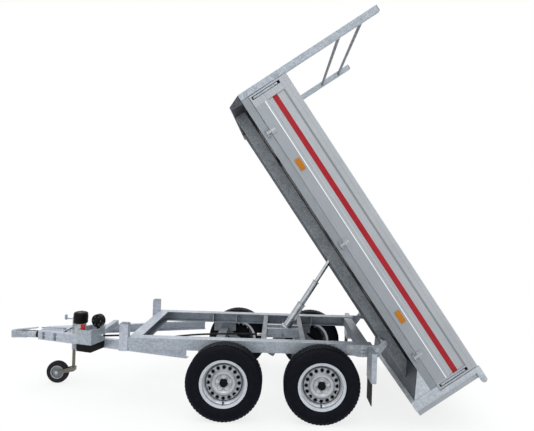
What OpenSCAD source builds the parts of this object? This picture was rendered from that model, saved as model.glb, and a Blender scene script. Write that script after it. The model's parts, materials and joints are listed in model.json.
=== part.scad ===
// Tandem-axle tipper trailer with its load bed raised to the rear.
// Millimetres, +X forward, +Y left, +Z up. Inside the modules x runs from the bed hinge.

/* [Bed position] */
// Angle of the raised bed above the chassis
tip_angle = 55; // [30:1:58]

/* [Chassis] */
// Height of the bed hinge above the ground
hinge_z = 603; // [590:1:630]
// Rear end of the chassis rails, ahead of the hinge
rail_rear = 90; // [80:1:110]
// Front end of the chassis rails, ahead of the hinge
rail_front = 2065; // [2040:1:2090]
// Top of the chassis rails above the ground
rail_top = 583; // [570:1:588]
// Height of the rail section
rail_h = 90; // [80:1:95]
// Flange width of the rail section
rail_flange = 95; // [80:1:100]
// Sheet thickness of the rails and crossmembers
rail_t = 5; // [4:0.5:7]

/* [Wheels] */
// Tyre radius
tyre_r = 298; // [290:1:305]
// Tyre width
tyre_w = 180; // [165:1:185]
// Rim radius over its flanges
rim_r = 186; // [182:1:190]
// Middle of the tyre from the centre line
track_half = 680; // [676:1:684]
// Rear wheels ahead of the hinge
axle_rear_x = 505; // [495:1:520]
// Distance between the two axles
axle_gap = 760; // [740:1:780]
// Number of round holes in the wheel disc
disc_holes = 16; // [12:1:18]

/* [Drawbar] */
// Height of the drawbar beams
beam_h = 78; // [70:1:84]
// Width of the drawbar beams
beam_w = 45; // [40:1:50]
// Rear ends of the drawbar beams, ahead of the hinge
beam_rear_x = 1592; // [1570:1:1620]
// Half spread of the beams at their front ends
beam_front_y = 65; // [60:1:70]
// Nose of the coupling head, ahead of the hinge
nose_x = 3298; // [3280:1:3320]
// Radius of the ball socket
socket_r = 25.25; // [25.1:0.05:25.4]

/* [Jockey wheel] */
// Gap between the jockey clamp plate and the overrun housing
jockey_gap = 26; // [20:1:40]
// Jockey wheel radius
jockey_r = 100; // [90:1:105]
// Distance of the jockey wheel's axle ahead of the tube
jockey_trail = 142; // [135:1:150]
// Travel of the jockey leg
jockey_travel = 155; // [140:1:156]

/* [Bed] */
// Half of the bed width over the side boards
bed_half = 785; // [783:1:800]
// Front face of the rack posts, ahead of the hinge
bed_front = 2262; // [2240:1:2290]
// Rear face of the bed's rear beam, behind the hinge
bed_rear = 462; // [450:1:480]
// Height of the bed runners' underside above the hinge axis
runner_low = -5; // [-8:1:0]
// Underside of the floor crossmembers above the hinge axis
deck_low = 93; // [88:1:98]
// Top of the floor above the hinge axis
floor_top = 151; // [146:1:156]
// Top of the side boards above the hinge axis
board_top = 495; // [470:1:520]
// Thickness of the side boards
board_t = 25; // [22:1:28]
// Top of the rack posts above the hinge axis
rack_top = 1350; // [1300:1:1400]
// Heights of the two rack bars above the hinge axis
rack_bar_n = [1012, 1218];

/* [Cylinder] */
// Trunnion ahead of the hinge
trunnion_x = 810; // [800:1:820]
// Trunnion above the ground
trunnion_z = 520; // [515:1:525]
// Ball seat ahead of the hinge, along the bed
seat_u = 730; // [720:1:740]
// Ball centre above the hinge axis, square to the bed
seat_n = 50; // [46:1:52]
// Outer radii of the barrel and of the three stages
stage_r = [47, 37, 27, 18];

/* [Hidden] */
$fn = 64;

// General clearances
overrun = 4;
pin_gap = 0.05;
running_gap = 0.3;
moving_gap = 6;

// Chassis, derived
rail_side = 32;
rail_out = track_half - tyre_w / 2 - rail_side;
rail_low = rail_top - rail_h;
rail_in = rail_out - rail_flange;
web_in = rail_out - rail_t;
axle_front_x = axle_rear_x + axle_gap;
rib_t = 8;

// Rubber-sprung axles: beam ahead of the wheel centre, trailing arms
arm_reach = 125;
axle_beam = 80;
axle_beam_z = 400;
arm_t = 26;
arm_boss_r = 46;
stub_boss_r = 34;
arm_h = 58;
arm_inset = 2;
stub_r = 22;
seat_plate_l = 220;
seat_plate_t = 12;
wheel_z = tyre_r;
arm_gap = 4;
arm_in = track_half - tyre_w / 2 - arm_gap - arm_t;

// Wheels, derived
rim_flange = 15;
bead_r = rim_r - rim_flange;
well_depth = 20;
sidewall_bulge = 26;
sidewall_share = 0.45;
shoulder = 16;
rim_w = 150;
rim_t = 6;
face_y = 38;
drum_r = 132;
drum_in = -76;
cap_r = 30;
cap_out = 62;
disc_bore_r = 33;
disc_hole_r = 12;
disc_ring_r = 120;
// Radii of the disc's dish, as shares of the hole ring: foot, crest, crest, foot, brim
dish_shares = [0.5, 0.62, 0.76, 0.86, 1.14];
// Radii of the drum's front step and nose
drum_shares = [0.7, 0.55];

// Rest posts for the lowered bed
post_w = 68;
post_low = 473;
post_top = hinge_z + deck_low - moving_gap;
post_set = 29;
post_y = rail_out - post_set;

// Hinge brackets and pins
hinge_pin_r = 12;
hinge_boss_r = 24;
hinge_collar_r = 20;
bracket_boss_r = 22;
bracket_t = 9;
bracket_front = 302;
bracket_low = 487;
bracket_nose = 20;

// Bed, derived
runner_w = 58;
runner_gap = 7;
runner_out = post_y - post_w / 2 - runner_gap;
runner_in = runner_out - runner_w;
edge_step = 5;
edge_out = bed_half - edge_step;
edge_w = 40;
floor_t = 6;
deck_h = floor_top - floor_t - deck_low;
deck_channel_w = 50;
deck_channel_t = 4;
deck_pitch = 410;
rack_post_w = 50;
rack_bar_r = 13;
front_beam_l = 72;
front_beam_rear = bed_front - front_beam_l;
front_beam_low = -10;
front_chamfer = 42;
rear_beam_l = 42;
rear_frame_low = -86;
rear_post_l = 38;
rear_post_w = 50;
gusset_t = 10;
gusset_front = 237;
apron_rise = 8;
apron_slope = (bed_rear - gusset_front) / (deck_low - rear_frame_low);
board_gap = 7;
board_low = floor_top + edge_step;

// Side board hinges
hinge_proud = 10;
hinge_y = bed_half + hinge_proud;
hinge_n = 126;
knuckle_r = 8;
knuckle_l = 22;
leaf_t = 6;
leaf_top = 42;
leaf_l = 60;
knuckle_gap = 0.4;
side_pin_r = 5;
side_hinge_ends = 310;

// Tailgate on its upper pins
tail_gap = 6;
tail_t = 40;
tail_low = rear_frame_low + tail_gap;
tail_pin_r = 9;
tail_pin_drop = 14;
tail_pin_proud = 26;
tail_pin_n = board_top - tail_pin_drop;
tail_pin_u = -(bed_rear + rear_post_l + tail_gap + tail_t + tail_pin_proud);
ear_t = 13;
ear_r = 24;
tail_half = bed_half - ear_t - moving_gap;

// Telescopic cylinder, derived
closed_len = 130;
ball_r = 22;
neck_l = 8;
stage_lip = 10;
stage_wall = 4;
stage_overlap = 50;
stages = 3;
trunnion_r = 16;
cradle_gap_y = 8;
cradle_in = stage_r[0] + cradle_gap_y;
cradle_t = 30;
cradle_gap = 326;
cradle_w = 40;
seat_at = [
  seat_u * cos(tip_angle) - seat_n * sin(tip_angle),
  hinge_z + seat_u * sin(tip_angle) + seat_n * cos(tip_angle)
];
cyl_len = norm(seat_at - [trunnion_x, trunnion_z]);
cyl_lean = atan2(trunnion_x - seat_at[0], seat_at[1] - trunnion_z);
barrel_top = closed_len - ball_r - neck_l - 2 * stage_lip;
stage_out = (cyl_len - closed_len) / stages;
stage_len = stage_out + stage_overlap + stage_lip;
barrel_end = 16;
barrel_low = barrel_top + stage_lip - stage_len - barrel_end;

// The part is centred between the coupling's nose and the raised tailgate's upper edge
rear_x = tail_pin_u * cos(tip_angle) - tail_pin_n * sin(tip_angle) - ear_r;
x_mid = (nose_x + rear_x) / 2;

// Drawbar, derived
beam_set = 61;
beam_rear_y = rail_out - beam_set;
nose_l = 288;
beam_front_x = nose_x - nose_l;
drawbar_l = beam_front_x - rail_front;
beam_low = rail_low - beam_h;
beam_run = beam_front_x - beam_rear_x;
beam_slope = (beam_rear_y - beam_front_y) / beam_run;
beam_angle = atan(beam_slope);
beam_len = beam_run / cos(beam_angle);
beam_half = beam_w / 2 / cos(beam_angle);
function beam_y(x) = beam_front_y + beam_slope * (beam_front_x - x);
function beam_in(x) = beam_y(x) - beam_half;

// Overrun housing, gaiter and coupling
housing_share = 0.2434;
housing_l = drawbar_l * housing_share;
housing_low = beam_low;
housing_top = rail_low;
tow_z = 441;
shaft_r = 22;
gaiter_l = 52;
gaiter_r = 33;
gaiter_waves = 4;
head_l = nose_x - beam_front_x - gaiter_l;
head_w = 60;
socket_wall = 15;
socket_x = nose_x - socket_r - socket_wall;
handle_shares = [0.9, 1.02, 0.62];
tie_l = 46;
tie_share = 0.3757;
tie_x = rail_front + drawbar_l * tie_share;
tie_h = 42;
plate_l = 64;

// Pump unit outside the left beam
tray_share = 0.291;
tray_rear = rail_front + drawbar_l * tray_share;
tray_l = 142;
tray_w = 186;
tray_low = 482;
tray_top = 602;
tray_t = 4;
tank_low = 422;
tank_side = 10;
motor_r = 61;
motor_top = 698;
motor_low = 600;
motor_along = 271;
pump_body_l = 84;
block_h = 40;

// Jockey wheel, derived
jockey_x = beam_front_x - housing_l - jockey_gap - plate_l / 2;
jockey_tube_r = 20;
jockey_leg_r = 14;
jockey_tube_top = 575;
jockey_cap = 15;
jockey_tube_low = 312;
jockey_leg_top = jockey_tube_top - jockey_cap - jockey_travel;
jockey_boss_top = 150;
jockey_boss_h = 34;
jockey_spigot_r = 10;
jockey_w = 48;
jockey_pin_r = 8;
cheek_t = 6;
jockey_side_gap = 2;
cheek_w = 30;

// Mudflaps and rear lamps
carrier_x = 92;
carrier_l = 40;
carrier_low = 340;
carrier_top = 568;
carrier_step = 5;
carrier_out = track_half + tyre_w / 2 - carrier_step;
carrier_t = 4;
flap_low = 167;
flap_t = 6;
lamp_l = 34;
lamp_h = 105;
lamp_w = 150;

steel = [0.66, 0.69, 0.72];
dark_steel = [0.45, 0.47, 0.5];
alloy = [0.78, 0.8, 0.82];
black = [0.08, 0.08, 0.09];
rubber = [0.05, 0.05, 0.055];
wheel_silver = [0.75, 0.76, 0.78];

module centred() { translate([-x_mid, 0, 0]) children(); }

module both_sides() {
  children();
  mirror([0, 1, 0]) children();
}

// Turns a shape drawn on the level bed up to the tipped position
module on_bed() {
  centred()
    translate([0, 0, hinge_z])
      rotate([0, -tip_angle, 0]) children();
}

// Follows the cylinder: local z runs from the trunnion towards the ball
module on_cylinder() {
  centred()
    translate([trunnion_x, 0, trunnion_z])
      rotate([0, -cyl_lean, 0]) children();
}

// A round bar along y from y0 to y1
module bar_y(r, y0, y1) {
  translate([0, y0, 0]) rotate([-90, 0, 0]) cylinder(r = r, h = y1 - y0);
}

// A plate in the x-z plane, t thick from y0 outwards
module plate_xz(points, y0, t) {
  translate([0, y0 + t, 0])
    rotate([90, 0, 0]) linear_extrude(t) polygon(points);
}

// A channel along x with its web on the +y side and its open side inwards
module channel(l, w, h, t) {
  difference() {
    cube([l, w, h]);
    translate([-overrun, -overrun, t]) cube([l + 2 * overrun, w - t + overrun, h - 2 * t]);
  }
}

// A channel across the chassis, its web forwards at x = 0 and its open side rearwards
module cross_channel(half, w, h, t) {
  translate([-w, -half, 0]) difference() {
    cube([w, 2 * half, h]);
    translate([-t, -overrun, t]) cube([w, 2 * half + 2 * overrun, h - 2 * t]);
  }
}

module chassis_rails() {
  rib_x = [for (a = [axle_rear_x, axle_front_x], s = [-1, 1])
    a + arm_reach + s * (seat_plate_l / 2 + rib_t)];
  color(steel) centred() both_sides() union() {
    translate([rail_rear, rail_in, rail_low])
      channel(rail_front - rail_rear, rail_flange, rail_h, rail_t);
    for (x = rib_x)
      translate([x - rib_t / 2, rail_in, rail_low]) cube([rib_t, rail_flange, rail_h]);
  }
}

module front_crossmember() {
  color(steel) centred()
    translate([rail_front, 0, rail_low]) cross_channel(rail_in, rail_flange, rail_h, rail_t);
}

module rear_crossmember() {
  color(steel) centred()
    translate([rail_rear + rail_flange, 0, rail_low + rail_t])
      cross_channel(web_in, rail_flange - bracket_nose, rail_h - 2 * rail_t, rail_t);
}

module cradle_crossmembers() {
  color(steel) centred()
    for (s = [-1, 1])
      translate([trunnion_x + s * cradle_gap / 2 - cradle_w / 2, -web_in, rail_low + rail_t])
        cube([cradle_w, 2 * web_in, rail_h - 2 * rail_t]);
}

module cradle_bearers() {
  span = cradle_gap - cradle_w;
  color(steel) centred() both_sides()
    difference() {
      translate([trunnion_x - span / 2, cradle_in, rail_low + rail_t])
        cube([span, cradle_t, rail_h - 2 * rail_t]);
      translate([trunnion_x, 0, trunnion_z])
        bar_y(trunnion_r + pin_gap, cradle_in - overrun, cradle_in + cradle_t + overrun);
    }
}

module bed_rest_posts() {
  color(steel) centred() both_sides()
    translate([rail_front, post_y - post_w / 2, post_low])
      cube([post_w, post_w, post_top - post_low]);
}

module hinge_brackets() {
  color(steel) centred() both_sides() union() {
    plate_xz([
      [bracket_front, rail_top], [bracket_front, rail_low + bracket_nose],
      [bracket_front - rail_flange, bracket_low], [2 * bracket_boss_r, bracket_low],
      [-bracket_boss_r, hinge_z - bracket_boss_r], [-bracket_boss_r, hinge_z], [bracket_boss_r, hinge_z],
      [bracket_boss_r + bracket_nose, rail_top]
    ], rail_out, bracket_t);
    translate([0, 0, hinge_z]) {
      bar_y(bracket_boss_r, rail_out, rail_out + bracket_t);
      bar_y(hinge_collar_r, runner_out + moving_gap, rail_out);
      bar_y(hinge_pin_r, runner_in, rail_out);
    }
  }
}

module drawbar_beams() {
  color(steel) centred() both_sides()
    translate([beam_rear_x, beam_rear_y, beam_low])
      rotate([0, 0, -beam_angle])
        translate([0, -beam_w / 2, 0]) channel(beam_len, beam_w, beam_h, rail_t);
}

// A flat block between the inner faces of the two beams
module between_beams(x0, x1, z0, z1) {
  translate([0, 0, z0]) linear_extrude(z1 - z0)
    polygon([[x0, -beam_in(x0)], [x1, -beam_in(x1)], [x1, beam_in(x1)], [x0, beam_in(x0)]]);
}

module drawbar_ties() {
  color(steel) centred() {
    translate([tie_x - tie_l / 2, -beam_y(tie_x), rail_low])
      cube([tie_l, 2 * beam_y(tie_x), tie_h]);
    difference() {
      between_beams(jockey_x - plate_l / 2, jockey_x + plate_l / 2, beam_low, rail_low);
      translate([jockey_x, 0, beam_low - overrun])
        cylinder(r = jockey_tube_r, h = beam_h + 2 * overrun);
    }
  }
}

module overrun_housing() {
  color(steel) centred() union() {
    between_beams(beam_front_x - housing_l, beam_front_x, housing_low, housing_top);
    translate([beam_front_x - shaft_r, 0, tow_z])
      rotate([0, 90, 0]) cylinder(r = shaft_r, h = gaiter_l + shaft_r);
  }
}

module coupling_gaiter() {
  wave = gaiter_l / gaiter_waves;
  points = [for (i = [0 : 2 * gaiter_waves])
    [gaiter_r - (i % 2) * shaft_r / 4, i * wave / 2]];
  color(rubber) centred()
    translate([beam_front_x, 0, tow_z]) rotate([0, 90, 0]) rotate_extrude()
      polygon(concat([[shaft_r, 0]], points, [[shaft_r, gaiter_l]]));
}

module coupling_head() {
  x0 = beam_front_x + gaiter_l;
  neck = head_l - head_w;
  color(steel) centred() difference() {
    union() {
      translate([x0, 0, tow_z]) rotate([0, 90, 0]) cylinder(r = gaiter_r, h = neck);
      translate([socket_x, 0, tow_z - head_w / 2]) cylinder(r = nose_x - socket_x, h = head_w);
      translate([x0 + neck / 2, -head_w / 2, tow_z - head_w / 2])
        cube([socket_x - x0 - neck / 2, head_w, head_w]);
      plate_xz([
        [x0 + neck, tow_z + head_w / 2], [x0, tow_z + head_w * handle_shares[0]],
        [x0, tow_z + head_w * handle_shares[1]], [socket_x, tow_z + head_w * handle_shares[2]],
        [socket_x, tow_z + head_w / 2]
      ], -gaiter_r / 2, gaiter_r);
    }
    translate([socket_x, 0, tow_z - head_w / 2 - overrun])
      cylinder(r = socket_r, h = head_w / 2 + overrun);
    translate([socket_x, 0, tow_z]) sphere(r = socket_r);
  }
}

module handbrake_lever() {
  lever_t = 14;
  lever_h = 10;
  lever_y = 24;
  x0 = beam_front_x - housing_l;
  color(dark_steel) centred()
    plate_xz([
      [x0 + lever_h, housing_top], [x0 + 2 * lever_h, housing_top],
      [x0 + 3 * lever_h, housing_top + lever_h], [beam_front_x, housing_top + lever_h],
      [beam_front_x, housing_top + 2 * lever_h], [x0 + lever_h, housing_top + 2 * lever_h]
    ], lever_y, lever_t);
}

// Local frame of the pump unit: x along the left beam, y outwards from its web
module at_pump() {
  centred()
    translate([tray_rear, beam_y(tray_rear) + beam_half, 0])
      rotate([0, 0, -beam_angle]) children();
}

module pump_tray() {
  color(steel) at_pump() difference() {
    translate([0, 0, tray_low]) cube([tray_l, tray_w, tray_top - tray_low]);
    translate([tray_t, tray_t, tray_low + tray_t])
      cube([tray_l - 2 * tray_t, tray_w - 2 * tray_t, tray_top - tray_low]);
  }
}

module pump_tank() {
  color(black) at_pump()
    translate([0, tank_side, tank_low])
      cube([tray_l, tray_w - tank_side, tray_low - tank_low]);
}

// Valve block in the tray, and the pump body under the motor on top of the beam
module pump_manifold() {
  color(alloy) at_pump() {
    translate([2 * tray_t, 2 * tray_t, tray_low + tray_t])
      cube([tray_l - 4 * tray_t, tray_w - 4 * tray_t, tray_top - tray_low - block_h]);
    translate([motor_along - pump_body_l / 2, -beam_w, rail_low])
      cube([pump_body_l, beam_w, motor_low - rail_low]);
  }
}

block_top = tray_top + tray_t - block_h;

module pump_motor() {
  crown = motor_r / 4;
  h = motor_top - motor_low;
  color(black) at_pump()
    translate([motor_along, -beam_w / 2, motor_low])
      rotate_extrude() polygon([
        [0, 0], [motor_r - crown / 2, 0], [motor_r, crown / 2],
        [motor_r, h - crown], [motor_r - crown / 3, h - crown / 3], [motor_r - crown, h], [0, h]
      ]);
}

valve_r = 54;
valve_l = 44;
valve_z = 664;
valve_along = 21;
valve_out = 66;
valve_stem_r = 13;
module pump_valve() {
  color(black) at_pump()
    translate([valve_along, valve_out, 0]) union() {
      translate([0, 0, block_top]) cylinder(r = valve_stem_r, h = valve_z - block_top);
      translate([0, 0, valve_z]) bar_y(valve_r, -valve_l / 2, valve_l / 2);
    }
}

switch_r = 18;
switch_h = 44;
switch_from_end = 39;
module isolator_switch() {
  color([0.75, 0.08, 0.08]) at_pump()
    translate([tray_l - switch_from_end, tray_w - 2 * tray_t - switch_r, block_top]) union() {
      cylinder(r = switch_r, h = switch_h);
      translate([-switch_r, -switch_r / 4, switch_h - overrun])
        cube([2 * switch_r, switch_r / 2, 2 * switch_r]);
    }
}

// Pressure hose from the pump to the cylinder cradle
hose_r = 8;
hose_sides = 10;
hose_from_beam = 84;
hose_rise_start = 52;
hose_start = [
  tray_rear + hose_from_beam * sin(beam_angle),
  beam_y(tray_rear) + beam_half + hose_from_beam * cos(beam_angle), rail_low + hose_rise_start
];
hose_lead = 55;
hose_end_x = trunnion_x + cradle_gap / 2 + cradle_w / 2;
// Way of the hose: along the chassis, out from the middle, and height over the rails' underside
hose_along_shares = [0.909, 0.8764, 0.8436, 0.778, 0.6613, 0.5155, 0.2967, 0.1145, 0];
hose_out_shares = [0.8716, 0.7107, 0.5766, 0.5095, 0.4827, 0.4559, 0.4291, 0.4157, 0.4157];
hose_rise = [42, 29, -3, -28, -18, 22, 42, 47, 47];
hose_points = concat(
  [hose_start, hose_start + hose_lead * [-cos(beam_angle), sin(beam_angle), 0]],
  [for (i = [0 : len(hose_rise) - 1]) [
    hose_end_x + (hose_start[0] - hose_end_x) * hose_along_shares[i],
    hose_start[1] * hose_out_shares[i], rail_low + hose_rise[i]
  ]]
);
function unit(v) = v / norm(v);
function hose_dir(i) = i == 0 ? unit(hose_points[1] - hose_points[0])
  : i == len(hose_points) - 1 ? [-1, 0, 0]
  : unit(hose_points[i + 1] - hose_points[i - 1]);
function hose_ring(i) = let (t = hose_dir(i), s = unit(cross(t, [0, 0, 1])), u = cross(s, t))
  [for (k = [0 : hose_sides - 1]) let (a = 360 * k / hose_sides)
    hose_points[i] + hose_r * (cos(a) * s + sin(a) * u)];

module hydraulic_hose() {
  rings = len(hose_points);
  last = (rings - 1) * hose_sides;
  color(black) centred() polyhedron(
    points = [for (i = [0 : rings - 1]) each hose_ring(i)],
    faces = concat(
      [[for (k = [0 : hose_sides - 1]) k]],
      [[for (k = [hose_sides - 1 : -1 : 0]) last + k]],
      [for (i = [0 : rings - 2], k = [0 : hose_sides - 1]) let (n = (k + 1) % hose_sides)
        [i * hose_sides + k, (i + 1) * hose_sides + k, (i + 1) * hose_sides + n, i * hose_sides + n]]
    )
  );
}

// One axle: square beam, seat plates under the rails, trailing arms and stub shafts
module axle(x) {
  beam_x = x + arm_reach;
  drop = axle_beam_z - wheel_z;
  slope = atan2(drop, arm_reach);
  reach = norm([drop, arm_reach]);
  translate([beam_x - axle_beam / 2, -arm_in, axle_beam_z - axle_beam / 2])
    cube([axle_beam, 2 * arm_in, axle_beam]);
  both_sides() {
    translate([beam_x - seat_plate_l / 2, rail_in + rail_flange / 2 - seat_plate_t / 2, axle_beam_z])
      cube([seat_plate_l, seat_plate_t, rail_low - axle_beam_z]);
    translate([beam_x, 0, axle_beam_z]) bar_y(arm_boss_r, arm_in, arm_in + arm_t);
    translate([x, 0, wheel_z]) {
      bar_y(stub_boss_r, arm_in, arm_in + arm_t);
      bar_y(stub_r, arm_in, track_half + face_y - 2 * rim_t);
      rotate([0, -slope, 0])
        translate([0, arm_in + arm_inset, -arm_h / 2]) cube([reach, arm_t - 2 * arm_inset, arm_h]);
    }
  }
}

module axles() {
  color(steel) centred() {
    axle(axle_rear_x);
    axle(axle_front_x);
  }
}

// Wheel frame: local z points outwards from the middle of the tyre
module at_wheel(x, side) {
  centred()
    translate([x, side * track_half, wheel_z]) rotate([-90 * side, 0, 0]) children();
}

module tyre(x, side) {
  wall = tyre_r - bead_r;
  bulge = tyre_w / 2;
  side_wall = [for (a = [-32 : 16 : 32])
    [bead_r + wall / 2 + wall * sidewall_share * sin(a), bulge - sidewall_bulge * (1 - cos(a))]];
  outer = concat(
    [[rim_r, rim_w / 2 - rim_t]], side_wall,
    [[tyre_r - shoulder / 2, bulge - shoulder], [tyre_r, bulge - 2 * shoulder]]
  );
  inner = [for (i = [len(outer) - 1 : -1 : 0]) [outer[i][0], -outer[i][1]]];
  color(rubber) at_wheel(x, side) rotate_extrude()
    polygon(concat([[bead_r, rim_w / 2 - 2 * rim_t]], outer, inner, [[bead_r, 2 * rim_t - rim_w / 2]]));
}

// Rim section from the outer flange over the well to the inner flange, then the dished disc
module rim(x, side) {
  h = rim_w / 2;
  well_r = bead_r - well_depth;
  color(wheel_silver) at_wheel(x, side) difference() {
    union() {
      rotate_extrude() polygon([
        [rim_r, h], [rim_r, h - rim_t], [bead_r, h - 2 * rim_t], [bead_r, h - 6 * rim_t],
        [well_r, h - 9 * rim_t], [well_r, -h / 3], [bead_r, -h / 2], [bead_r, 2 * rim_t - h],
        [rim_r, rim_t - h], [rim_r, -h], [bead_r - rim_t, rim_t - h], [bead_r - rim_t, -h / 2],
        [well_r - rim_t, -h / 3], [well_r - rim_t, h - 9 * rim_t], [bead_r - rim_t, h - 6 * rim_t],
        [bead_r - rim_t, h - rim_t]
      ]);
      rotate_extrude() polygon([
        [disc_bore_r, face_y - rim_t], [disc_bore_r, face_y], [disc_ring_r * dish_shares[0], face_y],
        [disc_ring_r * dish_shares[1], face_y + 2 * rim_t],
        [disc_ring_r * dish_shares[2], face_y + 2 * rim_t],
        [disc_ring_r * dish_shares[3], face_y], [disc_ring_r * dish_shares[4], face_y - rim_t],
        [well_r - rim_t / 2, face_y - 5 * rim_t], [well_r - rim_t / 2, face_y - 7 * rim_t],
        [disc_ring_r * dish_shares[4], face_y - 2 * rim_t - rim_t / 3],
        [disc_ring_r * dish_shares[2], face_y - rim_t]
      ]);
    }
    for (i = [0 : disc_holes - 1])
      rotate([0, 0, 360 * i / disc_holes]) translate([disc_ring_r, 0, 0])
        cylinder(r = disc_hole_r, h = h);
  }
}

module drum(x, side) {
  z1 = face_y - rim_t;
  color(dark_steel) at_wheel(x, side) difference() {
    rotate_extrude() polygon([
      [0, drum_in], [drum_r, drum_in], [drum_r, z1 - 3 * rim_t],
      [drum_r * drum_shares[0], z1 - 2 * rim_t], [drum_r * drum_shares[1], z1],
      [cap_r, z1], [cap_r, cap_out - rim_t], [cap_r - rim_t, cap_out], [0, cap_out]
    ]);
    translate([0, 0, drum_in - overrun])
      cylinder(r = stub_r + pin_gap, h = face_y - rim_t - drum_in + overrun);
  }
}

module mudflap_carriers() {
  carrier_in = rail_out + bracket_t;
  width = carrier_out - carrier_in;
  height = carrier_top - carrier_low;
  color(steel) centred() both_sides() translate([carrier_x, carrier_in, carrier_low]) difference() {
    cube([carrier_l, width, height]);
    translate([-overrun, carrier_t, -overrun])
      cube([carrier_l - carrier_t + overrun, width - 2 * carrier_t, height - carrier_t + overrun]);
  }
}

module mudflaps() {
  inset = 2 * carrier_t;
  color(rubber) centred() both_sides()
    translate([carrier_x + carrier_l - carrier_t - flap_t, rail_out + bracket_t + inset, flap_low])
      cube([flap_t, carrier_out - rail_out - bracket_t - 2 * inset, carrier_low + carrier_l - flap_low]);
}

module rear_lamps() {
  mid = (rail_out + bracket_t + carrier_out) / 2;
  lamp_low = carrier_low + carrier_l + 3 * carrier_t;
  color([0.6, 0.05, 0.05]) centred() both_sides()
    translate([carrier_x + carrier_l - carrier_t - lamp_l, mid - lamp_w / 2, lamp_low])
      cube([lamp_l, lamp_w, lamp_h]);
}

module jockey_tube() {
  color(steel) centred() translate([jockey_x, 0, 0]) difference() {
    translate([0, 0, jockey_tube_low]) cylinder(r = jockey_tube_r, h = jockey_tube_top - jockey_tube_low);
    translate([0, 0, jockey_tube_low - overrun])
      cylinder(r = jockey_leg_r + running_gap, h = jockey_tube_top - jockey_cap - jockey_tube_low + overrun);
  }
}

module jockey_crank() {
  crank_r = 6;
  crank_post_r = 10;
  crank_post_h = 28;
  crank_arm_z = 16;
  crank_reach = 82;
  crank_grip = 46;
  color(dark_steel) centred() translate([jockey_x, 0, jockey_tube_top]) union() {
    cylinder(r = 2 * crank_post_r, h = crank_r);
    cylinder(r = crank_post_r, h = crank_post_h);
    translate([0, 0, crank_arm_z]) rotate([0, 90, 0]) cylinder(r = crank_r, h = crank_reach);
    translate([crank_reach, 0, crank_arm_z - crank_post_r]) cylinder(r = crank_post_r, h = crank_grip);
  }
}

module jockey_leg() {
  color(alloy) centred() translate([jockey_x, 0, 0]) union() {
    translate([0, 0, jockey_boss_top + running_gap])
      cylinder(r = jockey_leg_r, h = jockey_leg_top - jockey_boss_top - running_gap);
    translate([0, 0, jockey_boss_top - jockey_boss_h])
      cylinder(r = jockey_spigot_r, h = jockey_boss_h + moving_gap);
  }
}

module jockey_fork() {
  gap = jockey_w / 2 + jockey_side_gap;
  color(steel) centred() translate([jockey_x, 0, 0]) union() {
    difference() {
      union() {
        translate([0, 0, jockey_boss_top - jockey_boss_h])
          cylinder(r = jockey_leg_r, h = jockey_boss_h);
        translate([-cheek_w / 2, -gap - cheek_t, jockey_boss_top - jockey_boss_h])
          cube([cheek_w, 2 * (gap + cheek_t), jockey_boss_h]);
      }
      translate([0, 0, jockey_boss_top - jockey_boss_h - overrun])
        cylinder(r = jockey_spigot_r + pin_gap, h = jockey_boss_h + 2 * overrun);
    }
    both_sides() {
      plate_xz([
        [-cheek_w / 2, jockey_boss_top], [-cheek_w / 2, jockey_boss_top - jockey_boss_h],
        [jockey_trail, jockey_r - cheek_w / 2], [jockey_trail, jockey_r + cheek_w / 2],
        [cheek_w / 2, jockey_boss_top]
      ], gap, cheek_t);
      translate([jockey_trail, 0, jockey_r]) bar_y(cheek_w / 2, gap, gap + cheek_t);
    }
    translate([jockey_trail, 0, jockey_r]) bar_y(jockey_pin_r, -gap - cheek_t, gap + cheek_t);
  }
}

module at_jockey_wheel() {
  centred() translate([jockey_x + jockey_trail, 0, jockey_r]) rotate([-90, 0, 0]) children();
}

jockey_rim_share = 0.59;
jockey_seat_share = 0.8;
// Radii of the jockey tyre's wall and shoulder
jockey_tyre_shares = [0.78, 0.93];
module jockey_rim() {
  r = jockey_r * jockey_rim_share;
  h = jockey_w / 2;
  seat = h * jockey_seat_share;
  color(alloy) at_jockey_wheel() rotate_extrude() polygon([
    [jockey_pin_r + pin_gap, h], [2 * jockey_pin_r, h], [3 * jockey_pin_r, h / 3], [r - cheek_t, h / 3],
    [r - cheek_t / 2, seat], [r, seat], [r, -seat], [r - cheek_t / 2, -seat],
    [r - cheek_t, -h / 3], [3 * jockey_pin_r, -h / 3], [2 * jockey_pin_r, -h], [jockey_pin_r + pin_gap, -h]
  ]);
}

module jockey_tyre() {
  r = jockey_r * jockey_rim_share;
  h = jockey_w / 2;
  seat = h * jockey_seat_share;
  wall_r = jockey_r * jockey_tyre_shares[0];
  shoulder_r = jockey_r * jockey_tyre_shares[1];
  color(rubber) at_jockey_wheel() rotate_extrude() polygon([
    [r, seat], [r, -seat], [wall_r, -h], [shoulder_r, -h], [jockey_r, -h / 2],
    [jockey_r, h / 2], [shoulder_r, h], [wall_r, h]
  ]);
}

module bed_runners() {
  color(steel) on_bed() both_sides() difference() {
    union() {
      plate_xz([
        [front_beam_rear, deck_low], [front_beam_rear, runner_low],
        [-gusset_front - (deck_low - runner_low) * apron_slope, runner_low], [-gusset_front, deck_low]
      ], runner_in, runner_w);
      bar_y(hinge_boss_r, runner_in, runner_out);
    }
    bar_y(hinge_pin_r + pin_gap, runner_in - overrun, runner_out + overrun);
  }
}

module bed_crossmembers() {
  rear = bed_rear - rear_beam_l;
  run = rear + bed_front - rack_post_w;
  count = floor(run / deck_pitch);
  color(steel) on_bed()
    for (i = [0 : count])
      translate([deck_channel_w - rear + i * (run - deck_channel_w) / count, 0, deck_low])
        cross_channel(edge_out - edge_w, deck_channel_w, deck_h, deck_channel_t);
}

module cylinder_seat() {
  seat_l = 130;
  low = seat_n + ball_r + running_gap;
  color(steel) on_bed()
    translate([seat_u - seat_l / 2, -runner_in, low]) cube([seat_l, 2 * runner_in, deck_low - low]);
}

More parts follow.
